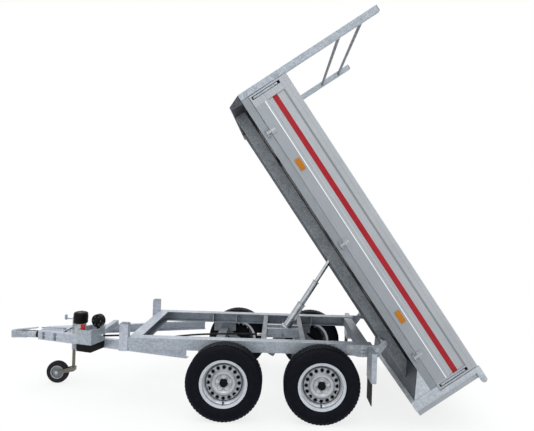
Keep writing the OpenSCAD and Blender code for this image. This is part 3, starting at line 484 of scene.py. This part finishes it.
# Seams along the boards: height, half width
BOARD_SEAMS = ((0.2375, 0.0012), (0.266, 0.0012), (0.4225, 0.0012), (0.457, 0.001))
FINISHES = {
    "zinc": zinc("galvanised_frame", (0.41, 0.45, 0.5), (0.27, 0.3, 0.34), 0.46),
    "zinc_dull": zinc("galvanised_dull", (0.25, 0.275, 0.3), (0.13, 0.145, 0.16), 0.52, 0.35, 120),
    # Runner: painted shade along its top, under the deck
    "runner": zinc("runner_zinc", (0.27, 0.295, 0.32), (0.14, 0.155, 0.17), 0.52, 0.35, 120,
                   painted_shade_above=0.085),
    # Rear frame: painted shade on its faces turned under the bed
    "zinc_pale": zinc("galvanised_tail", (0.52, 0.56, 0.6), (0.36, 0.39, 0.43), 0.44,
                      painted_shade_below=True, gloss=0.12),
    # Lighter zinc: painted light on the posts, drawbar beams and overrun housing
    "zinc_painted_light": zinc("galvanised_light", (0.5, 0.54, 0.6), (0.34, 0.37, 0.43), 0.45),
    "zinc_brown": zinc("passivated_leg", (0.2, 0.185, 0.16), (0.1, 0.092, 0.08), 0.42, 0.5, 140),
    # Near black zinc: painted shade for the bed's front beam and crossmembers, and the valve's screws
    "zinc_painted_shade": zinc("front_beam_dark", (0.07, 0.08, 0.095), (0.03, 0.035, 0.042), 0.5, 0.3),
    "alloy": mill_alloy("drop_side_alloy", (0.43, 0.455, 0.475), (0.3, 0.32, 0.345), 0.4,
                        BOARD_SEAMS, BOARD_BAND_LIGHT_AND_TINT),
    "edge": mill_alloy("edge_profile_alloy", (0.3, 0.325, 0.35), (0.19, 0.21, 0.23), 0.42),
    "floor": floor_board("bed_floor_steel"),
    "rubber": moulded("black_rubber", (0.015, 0.015, 0.016), 0.7, 700, 0.25, (0.06, 0.06, 0.06)),
    "plastic": moulded("black_moulding", (0.0035, 0.0035, 0.004), 0.42, 900, 0.2,
                       (0.018, 0.018, 0.02), 0.1),
    "red": moulded("red_key", (0.42, 0.02, 0.018), 0.35, 800, 0.1, (0.3, 0.05, 0.04)),
    "drum": moulded("hub_black", (0.003, 0.0035, 0.005), 0.5, 420, 0.3,
                    (0.014, 0.015, 0.018), 0.08),
    "plate": plated("plated_rod", (0.4, 0.43, 0.46), 0.2),
    "bolt": plated("zinc_bolt", (0.5, 0.52, 0.54), 0.3, 0.85),
    "cast": plated("pump_casting", (0.48, 0.49, 0.5), 0.38, 0.6),
    "wheel": wheel_paint("wheel_silver"),
    "amber": lens("amber_lens", (0.78, 0.3, 0.012), (0.42, 0.14, 0.004)),
    "ruby": lens("red_lens", (0.38, 0.012, 0.012), (0.18, 0.005, 0.005)),
    "tape": tape("crimson_tape"),
    "tyre": tyre_rubber("tyre_rubber"),
}
# Nodes by finish; the rest are plain zinc
NODE_FINISH = {
    "zinc_pale": ["bed_rear_frame"],
    "zinc_painted_light": ["bed_rest_posts", "drawbar_beams", "overrun_housing"],
    "zinc_brown": ["jockey_leg", "jockey_fork"],
    "runner": ["bed_runners"],
    "zinc_dull": ["axles", "jockey_rim", "cradle_crossmembers", "cylinder_seat", "rack_bars",
                  "cylinder_barrel"],
    # Painted shade: near black zinc
    "zinc_painted_shade": ["bed_front_beam", "bed_crossmembers"],
    "alloy": ["side_board_left", "side_board_right", "front_board", "tailgate"],
    "edge": ["bed_edges"],
    "floor": ["bed_floor"],
    "rubber": ["coupling_gaiter", "mudflaps", "hydraulic_hose", "jockey_tyre"],
    "plastic": ["pump_tank", "pump_motor", "pump_valve"],
    "red": ["isolator_switch"],
    "drum": ["drum_fl", "drum_fr", "drum_rl", "drum_rr"],
    "plate": ["cylinder_stage_1", "cylinder_stage_2", "cylinder_stage_3"],
    "cast": ["pump_manifold"],
    "wheel": ["rim_fl", "rim_fr", "rim_rl", "rim_rr"],
    "ruby": ["rear_lamps"],
}


def finish_nodes():
    of_node = {node: finish for finish, nodes in NODE_FINISH.items() for node in nodes}
    for node in frame["nodes"]:
        slots = bpy.data.objects[node].data.materials
        slots.clear()
        slots.append(FINISHES[of_node.get(node, "zinc")])


# Pieces
BEVEL = 0.002


def as_mesh(name, bm):
    bmesh.ops.recalc_face_normals(bm, faces=bm.faces)
    mesh = bpy.data.meshes.new(name)
    bm.to_mesh(mesh)
    bm.free()
    return mesh


def piece(name, mesh, finish, body, smooth=40):
    if not mesh.materials:
        mesh.materials.append(FINISHES[finish])
    mesh.shade_smooth()
    mesh.set_sharp_from_angle(angle=math.radians(smooth))
    obj = put(name, mesh)
    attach(obj, body)
    return obj


def block(bm, centre, half, axes, bevel):
    made = bmesh.ops.create_cube(bm, size=2)["verts"]
    arms = [axis * length for axis, length in zip(axes, half)]
    for vert in made:
        vert.co = centre + sum((arm * share for arm, share in zip(arms, vert.co)), Vector())
    edges = list({edge for vert in made for edge in vert.link_edges})
    bmesh.ops.bevel(bm, geom=edges, offset=bevel, segments=2, affect="EDGES", profile=0.5)


def blocks(name, parts, axes, finish, body, bevel=BEVEL):
    """Bevelled blocks, each a centre and three half sizes along the axes"""
    bm = bmesh.new()
    for centre, half in parts:
        block(bm, centre, half, axes, bevel)
    return piece(name, as_mesh(name, bm), finish, body)


def lathe(bm, profile, sides, place):
    """Turns a closed profile of radius and height about the local z"""
    rings = [[bm.verts.new(place @ Vector((r * c, r * s, z))) for r, z in profile]
             for c, s in around(sides, 1.0)]
    for one, two in zip(rings, rings[1:] + rings[:1]):
        for i in range(len(profile)):
            j = (i + 1) % len(profile)
            bm.faces.new((one[i], two[i], two[j], one[j]))


def turned(name, profile, sides, place, finish, body):
    bm = bmesh.new()
    lathe(bm, profile, sides, place)
    return piece(name, as_mesh(name, bm), finish, body)


# Geometry Nodes for what repeats
class ShapeTree(Nodes):
    """A tree with named inputs, run to a plain mesh"""
    def __init__(self, name, inputs):
        super().__init__(bpy.data.node_groups.new(name, "GeometryNodeTree"))
        face = self.tree.interface
        face.new_socket("Geometry", in_out="INPUT", socket_type="NodeSocketGeometry")
        self.ids = {}
        for label, kind, value in inputs:
            socket = face.new_socket(label, in_out="INPUT", socket_type="NodeSocket" + kind)
            if value is not None:
                socket.default_value = value
            self.ids[label] = socket.identifier
        face.new_socket("Geometry", in_out="OUTPUT", socket_type="NodeSocketGeometry")

    def given(self, label):
        return self.node("NodeGroupInput", out=label)

    def close(self, geometry):
        real = self.node("GeometryNodeRealizeInstances", None, {0: geometry})
        done = self.node("GeometryNodeSetMaterial", None, {0: real, "Material": self.given("Material")})
        self.node("NodeGroupOutput", None, {0: done})

    def run(self, mesh, values):
        obj = put(mesh.name, mesh)
        mod = obj.modifiers.new("nodes", "NODES")
        mod.node_group = self.tree
        for label, value in values.items():
            mod[self.ids[label]] = value
        graph = bpy.context.evaluated_depsgraph_get()
        result = bpy.data.meshes.new_from_object(obj.evaluated_get(graph), depsgraph=graph)
        obj.modifiers.remove(mod)
        bpy.data.objects.remove(obj)
        return result


# Bolt head and washer, as shares of the width across the flats and of the head's height
HEAD_RADIUS_SHARE, WASHER_RADIUS_SHARE, WASHER_HEIGHT_SHARE = 0.56, 0.95, 0.5


def bolt_tree():
    tree = ShapeTree("bolt_heads", [
        ("Material", "Material", None), ("Across", "Float", 0.016), ("Height", "Float", 0.008),
        ("Direction", "Vector", (0, 0, 1))])
    across, height = tree.given("Across"), tree.given("Height")
    head = tree.node("GeometryNodeMeshCylinder", None,
                     {"Vertices": 6, "Radius": across * HEAD_RADIUS_SHARE, "Depth": height})
    head = tree.node("GeometryNodeTransform", None,
                     {0: head, "Translation": tree.join(0.0, 0.0, height * 0.5)})
    washer = tree.node("GeometryNodeMeshCylinder", None, {
        "Vertices": 18, "Radius": across * WASHER_RADIUS_SHARE, "Depth": height * WASHER_HEIGHT_SHARE})
    both = tree.node("GeometryNodeJoinGeometry", None, {0: [head, washer]})
    turn = tree.node("FunctionNodeAlignRotationToVector", {"axis": "Z"},
                     {"Vector": tree.given("Direction")})
    tree.close(tree.node("GeometryNodeInstanceOnPoints", None,
                         {0: tree.given("Geometry"), "Instance": both, "Rotation": turn}))
    return tree


# Rows of tread lugs: place across the tyre, width, slant, and shift in lugs
TREAD_ROWS = ((0.0, 0.019, 0.0, 0.0), (0.0255, 0.02, 0.38, 0.5), (-0.0255, 0.02, 0.38, 0.5),
              (0.05, 0.019, -0.3, 0.0), (-0.05, 0.019, -0.3, 0.0))
LUGS, LUG_LENGTH, LUG_DEPTH, LUG_INSET = 60, 0.0242, 0.0115, 0.006


def tread_tree():
    tree = ShapeTree("tyre_tread", [
        ("Material", "Material", None), ("Radius", "Float", 0.3), ("Blocks", "Int", LUGS),
        ("Depth", "Float", 0.012), ("Place", "Vector", (0, 0, 0)), ("Turn", "Vector", (0, 0, 0))])
    rows = []
    for across, width, slant, shift in TREAD_ROWS:
        ring = tree.node("GeometryNodeMeshCircle", None,
                         {"Vertices": tree.given("Blocks"), "Radius": tree.given("Radius")})
        lug = tree.node("GeometryNodeMeshCube", None,
                        {"Size": tree.join(tree.given("Depth"), LUG_LENGTH, width)})
        lug = tree.node("GeometryNodeTransform", None, {0: lug, "Rotation": (slant, 0, 0)})
        turn = tree.node("FunctionNodeAlignRotationToVector", {"axis": "X", "pivot_axis": "Z"},
                         {"Vector": tree.node("GeometryNodeInputPosition")})
        row = tree.node("GeometryNodeInstanceOnPoints", None,
                        {0: ring, "Instance": lug, "Rotation": turn})
        rows.append(tree.node("GeometryNodeTransform", None, {
            0: row, "Translation": (0, 0, across), "Rotation": (0, 0, shift * math.tau / LUGS)}))
    lugs = tree.node("GeometryNodeJoinGeometry", None, {0: rows})
    lugs = tree.node("GeometryNodeRealizeInstances", None, {0: lugs})
    moved = tree.node("GeometryNodeTransform", None, {
        0: lugs, "Translation": tree.given("Place"), "Rotation": tree.given("Turn")})
    tree.close(tree.node("GeometryNodeJoinGeometry", None, {0: [tree.given("Geometry"), moved]}))
    return tree


BOLTS, TREAD = bolt_tree(), tread_tree()

# Heads of the fasteners: width across the flats, height
HEADS = {
    "wheel_bolts": (0.019, 0.016),
    "hinge_screws": (0.01, 0.003),
    "edge_rivets": (0.008, 0.0022),
    "rack_bolts": (0.017, 0.009),
    "tailgate_pin": (0.022, 0.006),
    "bracket_bolts": (0.019, 0.011),
    "mudflap_bolts": (0.013, 0.007),
    "axle_seat_bolts": (0.018, 0.01),
    "housing_bolts": (0.017, 0.009),
    "coupling_bolts": (0.015, 0.008),
    "clamp_bolts": (0.015, 0.009),
    "jockey_axle_nut": (0.016, 0.008),
    "motor_screws": (0.009, 0.004),
    "pump_body_bolts": (0.011, 0.006),
    "valve_screws": (0.008, 0.004),
    "tray_bolts": (0.012, 0.006),
}


def bolts(kind, body, places, direction, finish="bolt", tag=""):
    """Heads of one kind on one body; the tag ends the piece's name"""
    mesh = bpy.data.meshes.new(kind + tag)
    mesh.from_pydata([tuple(place) for place in places], [], [])
    across, height = HEADS[kind]
    made = BOLTS.run(mesh, {"Material": FINISHES[finish], "Across": across, "Height": height,
                            "Direction": tuple(direction)})
    return piece(kind + tag, made, finish, body)


# Pressure hose: the CAD route, rounded, with a crimped ferrule at each end and a clip
HOSE = ((2.364475, 0.372993, 0.545), (2.311862, 0.389022, 0.545), (2.239671, 0.325101, 0.535),
        (2.194961, 0.265086, 0.522), (2.149976, 0.215068, 0.49), (2.060008, 0.19004, 0.465),
        (1.899956, 0.180044, 0.475), (1.699995, 0.170048, 0.515), (1.399917, 0.160051, 0.535),
        (1.150034, 0.155053, 0.54), (0.993, 0.155053, 0.54))
HOSE_R, HOSE_SIDES, HOSE_STEPS = 0.008, 16, 6
FERRULE = ((0.004, 0), (0.0125, 0), (0.0125, 0.012), (0.0105, 0.014), (0.0115, 0.017),
           (0.0115, 0.04), (0.0098, 0.044), (0.004, 0.044))
HOSE_CLIP, HOSE_CLIP_HALF = (2.045, 0.1895, 0.483), (0.008, 0.013, 0.0102)


def rounded_route(points, steps):
    """Cubic B-spline along the points, from the first to the last"""
    knots = [chassis(*point) for point in points]
    knots = [2 * knots[0] - knots[1], *knots, 2 * knots[-1] - knots[-2]]
    route = []
    for a, b, c, d in zip(knots, knots[1:], knots[2:], knots[3:]):
        for k in range(steps):
            t = k / steps
            route.append((a * (1 - t)**3 + b * (3 * t**3 - 6 * t**2 + 4)
                          + c * (-3 * t**3 + 3 * t**2 + 3 * t + 1) + d * t**3) / 6)
    return route + [knots[-2]]


def hose_tube(route):
    bm = bmesh.new()
    rings = []
    for i, at in enumerate(route):
        along = (route[min(i + 1, len(route) - 1)] - route[max(i - 1, 0)]).normalized()
        side = along.cross(UP).normalized()
        rise = side.cross(along)
        rings.append([bm.verts.new(at + side * c + rise * s) for c, s in around(HOSE_SIDES, HOSE_R)])
    for one, two in zip(rings, rings[1:]):
        for k in range(HOSE_SIDES):
            n = (k + 1) % HOSE_SIDES
            bm.faces.new((one[k], one[n], two[n], two[k]))
    bm.faces.new(rings[0])
    bm.faces.new(rings[-1])
    return as_mesh("pressure_hose", bm)


def pressure_hose():
    route = rounded_route(HOSE, HOSE_STEPS)
    hose = piece("pressure_hose", hose_tube(route), "rubber", "chassis")
    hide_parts("hydraulic_hose")
    ends = [turned("hose_ferrule_" + name, FERRULE, 18, facing(at, inward - at), "bolt", "chassis")
            for name, at, inward in (("pump", *route[:2]), ("cradle", *route[:-3:-1]))]
    length = sum((b - a).length for a, b in zip(route, route[1:]))
    blocks("hose_clip", [(chassis(*HOSE_CLIP), HOSE_CLIP_HALF)], LEVEL, "plastic", "chassis")


# Tyre's outer carcass, bead to crown, with ribbed sidewalls: radius, half width
TYRE_WALL = ((0.171, 0.063), (0.1867, 0.0692), (0.1913, 0.0745), (0.1974, 0.0805), (0.1989, 0.0805),
             (0.2055, 0.0845), (0.2198, 0.0885), (0.2345, 0.0895), (0.2482, 0.088), (0.2497, 0.0893),
             (0.2533, 0.0888), (0.2548, 0.0868), (0.2655, 0.084), (0.267, 0.0845), (0.2716, 0.083),
             (0.2731, 0.0808), (0.2828, 0.0765), (0.2894, 0.0715), (0.2924, 0.064),
             (0.2914, 0.06), (0.2904, 0.03))
TYRE_SIDES, TYRE_SMOOTH = 96, 32


def tyres():
    profile = [*TYRE_WALL, *((radius, -half) for radius, half in reversed(TYRE_WALL))]
    for key, centre in WHEELS.items():
        turn = -math.pi / 2 * WHEEL_SIDES[key]
        bm = bmesh.new()
        lathe(bm, profile, TYRE_SIDES, Matrix.Translation(centre) @ Matrix.Rotation(turn, 4, "X"))
        made = TREAD.run(as_mesh("tyre_carcass_" + key, bm), {
            "Material": FINISHES["tyre"], "Radius": TYRE_R - LUG_INSET, "Blocks": LUGS,
            "Depth": LUG_DEPTH, "Place": tuple(centre), "Turn": (turn, 0, 0)})
        tyre = piece("road_tyre_" + key, made, "tyre", "wheel_" + key, TYRE_SMOOTH)
        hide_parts("tyre_" + key)


# Wheel bolts and tyre valve: seats out from the wheel's middle, and the valve's drop from the axle
WHEEL_BOLTS, BOLT_SEAT, VALVE_SEAT, VALVE_DROP = 5, 0.038, 0.036, 0.153
VALVE_STEM = ((0.0002, 0), (0.0075, 0), (0.006, 0.006), (0.0042, 0.008), (0.0042, 0.02),
              (0.005, 0.021), (0.005, 0.029), (0.0002, 0.03))


def wheel_fittings():
    for key, centre in WHEELS.items():
        wheel, out = "wheel_" + key, ACROSS * WHEEL_SIDES[key]
        ring = [centre + out * BOLT_SEAT + AHEAD * ahead + UP * up
                for up, ahead in around(WHEEL_BOLTS, BOLT_RING)]
        bolts("wheel_bolts", wheel, ring, out, tag="_" + key)
        root = centre + out * VALVE_SEAT - UP * VALVE_DROP
        turned("tyre_valve_" + key, VALVE_STEM, 16, facing(root, out), "rubber", wheel)


# Plates on the side boards: out from the board's face, height n, half sizes along, across and up
STRIPE, STRIPE_BEVEL = (-0.0076, 0.33, (BAND_HALF, 0.0009, 0.0215)), 0.0006
REFLECTOR, REFLECTOR_BEVEL = (0.0035, 0.205, (0.05, 0.0045, 0.0215)), 0.003
LATCH_BED, LATCH_BED_BEVEL = (-0.0115, 0.295, (0.0128, 0.0012, 0.1245)), 0.0004
LATCH_LEVER = ((-0.0065, 0.29, (0.0085, 0.0035, 0.108)), (-0.003, 0.385, (0.0075, 0.0045, 0.014)),
               (-0.003, 0.2, (0.0075, 0.0045, 0.01)))
# Where they are along the bed
REFLECTORS = ((1.563, "front"), (0.175, "rear"))
LATCHES = ((-0.429, "rear"), (2.179, "front"))


def on_board(side, u, plate):
    out, n, half = plate
    return bed(u, side * (BED_HALF + out), n), half


def board_plates(side, name):
    board = "board_" + name
    blocks("stripe_" + name, [on_board(side, BAND_MIDDLE, STRIPE)],
           BED_AXES, "tape", board, STRIPE_BEVEL)
    for u, spot in REFLECTORS:
        blocks(f"reflector_{spot}_{name}", [on_board(side, u, REFLECTOR)],
               BED_AXES, "amber", board, REFLECTOR_BEVEL)
    for u, spot in LATCHES:
        blocks(f"latch_bed_{spot}_{name}", [on_board(side, u, LATCH_BED)],
               BED_AXES, "plastic", board, LATCH_BED_BEVEL)
        blocks(f"latch_lever_{spot}_{name}", [on_board(side, u, part) for part in LATCH_LEVER],
               BED_AXES, "zinc", board)


# Screws of the boards' hinges, rivets of the edge profiles, and the rack's feet and caps
BOARD_HINGES, HINGE_SCREWS_N, HINGE_LEAF = (-0.145, 0.875, 1.895), (0.172, 0.187), 0.006
RIVETS, RIVET_START, RIVET_PITCH, RIVET_Y, RIVET_N = 20, -0.36, 0.13, 0.78, 0.106
RACK_U, RACK_Y, RACK_TOP, RACK_BOLTS_N = 2.237, 0.76, 1.352, (0.15, 0.24, 0.43)
RACK_CAP_HALF = (0.0245, 0.0245, 0.0028)


def bed_fasteners(side, name):
    out, tag = ACROSS * side, "_" + name
    screws = [bed(u, side * (BED_HALF + HINGE_LEAF), n) for u in BOARD_HINGES for n in HINGE_SCREWS_N]
    bolts("hinge_screws", "board_" + name, screws, out, tag=tag)
    rivets = [bed(RIVET_START + RIVET_PITCH * k, side * RIVET_Y, RIVET_N) for k in range(RIVETS)]
    bolts("edge_rivets", "bed", rivets, out, "edge", tag)
    feet = [bed(RACK_U, side * BED_HALF, n) for n in RACK_BOLTS_N]
    bolts("rack_bolts", "bed", feet, out, "zinc", tag)
    bolts("tailgate_pin", "tailgate", [TAIL_PIN + out * BED_HALF], out, tag=tag)
    blocks("rack_cap" + tag, [(bed(RACK_U, side * RACK_Y, RACK_TOP), RACK_CAP_HALF)],
           BED_AXES, "plastic", "bed")


def bed_trim():
    for side, name in SIDES:
        board_plates(side, name)
        bed_fasteners(side, name)


# Gland nuts of the cylinder: part, top above the trunnion, height, inner and outer radius
GLANDS = (("barrel", 0.08, 0.02, 0.0465, 0.0505), ("stage_1", 0.323645, 0.0085, 0.0365, 0.0425),
          ("stage_2", 0.56729, 0.0085, 0.0265, 0.0325))
GLAND_FOOT, GLAND_LIP = 0.001, 0.002


def cylinder_glands():
    along = Matrix.Translation(TRUNNION) @ Matrix.Rotation(-LEAN, 4, "Y")
    for name, top, height, inner, outer in GLANDS:
        low = top - height
        nut = ((inner, low), (outer - GLAND_FOOT, low), (outer, low + GLAND_FOOT),
               (outer, top - GLAND_LIP), (outer - GLAND_LIP, top), (inner, top))
        turned("gland_" + name, nut, 40, along, "bolt", "cylinder_" + name)


# Chassis fasteners and plates of the left side, mirrored to the right: x from the hinge, y, z
BRACKET_BOLTS = [(x, 0.567, z) for x, z in
                 ((0.166, 0.502), (0.166, 0.53), (0.166, 0.558), (0.262, 0.555), (0.058, 0.548))]
MUDFLAP_BOLTS = [(0.122, y, 0.362) for y in (0.6, 0.666, 0.732)]
AXLE_SEAT_BOLTS = [(x + dx, 0.5165, z)
                   for x in (0.63, 1.39) for dx in (-0.09, 0.09) for z in (0.43, 0.47)]
HOUSING_BOLTS = [(x, y, z) for x, y in ((2.84, 0.14031), (2.96, 0.10375)) for z in (0.438, 0.472)]
COUPLING_BOLTS = [(x, 0.0325, 0.441) for x in (3.086, 3.124)]
REST_PAD, REST_PAD_HALF = (2.099, 0.529, 0.6926), (0.031, 0.031, 0.0026)
INDICATOR, INDICATOR_HALF, INDICATOR_BEVEL = (0.0932, 0.712, 0.4445), (0.0014, 0.026, 0.046), 0.001
# Clamp plate's bolts, round the jockey tube
CLAMP_BOLTS = [(2.722 + dx, y, 0.493) for dx in (-0.022, 0.022) for y in (-0.062, 0.062)]


def on_side(side, places):
    return [chassis(x, side * y, z) for x, y, z in places]


def chassis_trim():
    for side, name in SIDES:
        out, tag = ACROSS * side, "_" + name
        bolts("bracket_bolts", "chassis", on_side(side, BRACKET_BOLTS), out, tag=tag)
        bolts("mudflap_bolts", "chassis", on_side(side, MUDFLAP_BOLTS), -AHEAD, tag=tag)
        bolts("axle_seat_bolts", "chassis", on_side(side, AXLE_SEAT_BOLTS), out, tag=tag)
        pad, lamp = on_side(side, (REST_PAD, INDICATOR))
        blocks("rest_pad" + tag, [(pad, REST_PAD_HALF)], LEVEL, "zinc_dull", "chassis")
        blocks("indicator_lens" + tag, [(lamp, INDICATOR_HALF)],
               LEVEL, "amber", "chassis", INDICATOR_BEVEL)
        beam_out = (BEAM_OUT.x, side * BEAM_OUT.y, 0)
        bolts("housing_bolts", "chassis", on_side(side, HOUSING_BOLTS), beam_out, "zinc_dull", tag)
        bolts("coupling_bolts", "chassis", on_side(side, COUPLING_BOLTS), out, tag=tag)
    bolts("clamp_bolts", "chassis", on_side(1, CLAMP_BOLTS), UP)


# Jockey wheel: turned profiles as radius and height, the axle's nuts and the crank's grip
JOCKEY_ROD = ((0.0001, 0.116), (0.01, 0.116), (0.01, 0.1503), (0.014, 0.1503), (0.014, 0.4005),
              (0.0115, 0.403), (0.0001, 0.403))
JOCKEY_LIP = ((0.053, 0.0195), (0.0545, 0.0215), (0.0585, 0.0215), (0.0585, 0.0165), (0.053, 0.0165))
CRANK_GRIP = ((0.0095, 0), (0.0118, 0.001), (0.013, 0.005), (0.012, 0.016), (0.013, 0.032),
              (0.0118, 0.0385), (0.0095, 0.0395))
JOCKEY_NUT_OUT, CRANK_REACH, CRANK_GRIP_Z = 0.032, 0.082, 0.5868


def jockey_trim():
    rod = turned("jockey_rod", JOCKEY_ROD, 32, facing((JOCKEY_LEG.x, 0, 0), UP),
                 "zinc_brown", "jockey_leg")
    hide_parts("jockey_leg")
    for side, name in SIDES:
        out = ACROSS * side
        turned("jockey_lip_" + name, JOCKEY_LIP, 48, facing(JOCKEY_AXLE, out), "wheel", "jockey_wheel")
        nut = JOCKEY_AXLE + out * JOCKEY_NUT_OUT
        bolts("jockey_axle_nut", "jockey_fork", [nut], out, tag="_" + name)
    grip = facing((JOCKEY_LEG.x + CRANK_REACH, 0, CRANK_GRIP_Z), UP)
    turned("crank_grip", CRANK_GRIP, 20, grip, "zinc", "chassis")


# Pump unit: places along and out from the beam, turned profiles as radius and height
MOTOR_ALONG, MOTOR_OUT, MOTOR_TOP = 0.271, -0.0225, 0.698
MOTOR_SCREW_RING, MOTOR_SCREW_TURN = 0.034, 0.5
MOTOR_BAND = ((0.0605, 0.646), (0.0628, 0.6465), (0.0628, 0.6615), (0.0605, 0.662))
PUMP_BOLTS_ALONG, PUMP_BOLTS_Z = (-0.03, 0.03), (0.515, 0.578)
VALVE_ALONG, VALVE_Z, VALVE_FACE, VALVE_SCREW_RING = 0.021, 0.664, 0.088, 0.037
VALVE_CAP = ((0.0002, 0), (0.022, 0), (0.021, 0.006), (0.017, 0.009), (0.0002, 0.009))
VALVE_CAP_SEAT = 0.0878
TRAY_BOLTS_ALONG, TRAY_BOLTS_Z, TRAY_FACE = (0.018, 0.124), (0.5, 0.586), 0.186
SWITCH = (0.103, 0.16, 0.566)
SWITCH_COLLAR = ((0.0175, 0), (0.0225, 0), (0.0225, 0.004), (0.019, 0.007), (0.0175, 0.007))


def pump_trim():
    motor = facing(pump(MOTOR_ALONG, MOTOR_OUT, 0), UP)
    turned("motor_band", MOTOR_BAND, 48, motor, "plastic", "chassis")
    lid = [pump(MOTOR_ALONG + dx, MOTOR_OUT + dy, MOTOR_TOP)
           for dx, dy in around(4, MOTOR_SCREW_RING, MOTOR_SCREW_TURN)]
    bolts("motor_screws", "chassis", lid, UP, "zinc_dull")
    body = [pump(MOTOR_ALONG + dx, 0, z) for dx in PUMP_BOLTS_ALONG for z in PUMP_BOLTS_Z]
    bolts("pump_body_bolts", "chassis", body, BEAM_OUT)
    face = [pump(VALVE_ALONG + dx, VALVE_FACE, VALVE_Z + dz) for dx, dz in around(6, VALVE_SCREW_RING)]
    bolts("valve_screws", "chassis", face, BEAM_OUT, "zinc_painted_shade")
    cap = facing(pump(VALVE_ALONG, VALVE_CAP_SEAT, VALVE_Z), BEAM_OUT)
    turned("valve_cap", VALVE_CAP, 28, cap, "plastic", "chassis")
    tray = [pump(along, TRAY_FACE, z) for along in TRAY_BOLTS_ALONG for z in TRAY_BOLTS_Z]
    bolts("tray_bolts", "chassis", tray, BEAM_OUT)
    turned("switch_collar", SWITCH_COLLAR, 28, facing(pump(*SWITCH), UP), "plastic", "chassis")


FLOOR_HALF = 30


def studio_floor():
    bm = bmesh.new()
    bmesh.ops.create_grid(bm, x_segments=1, y_segments=1, size=FLOOR_HALF)
    ground = bpy.data.meshes.new("studio_floor")
    bm.to_mesh(ground)
    bm.free()
    ground.materials.append(paper_floor("paper_floor"))
    put("studio_floor", ground)


set_camera()
set_light()
pressure_hose()
finish_nodes()
tyres()
wheel_fittings()
bed_trim()
cylinder_glands()
chassis_trim()
jockey_trim()
pump_trim()
studio_floor()
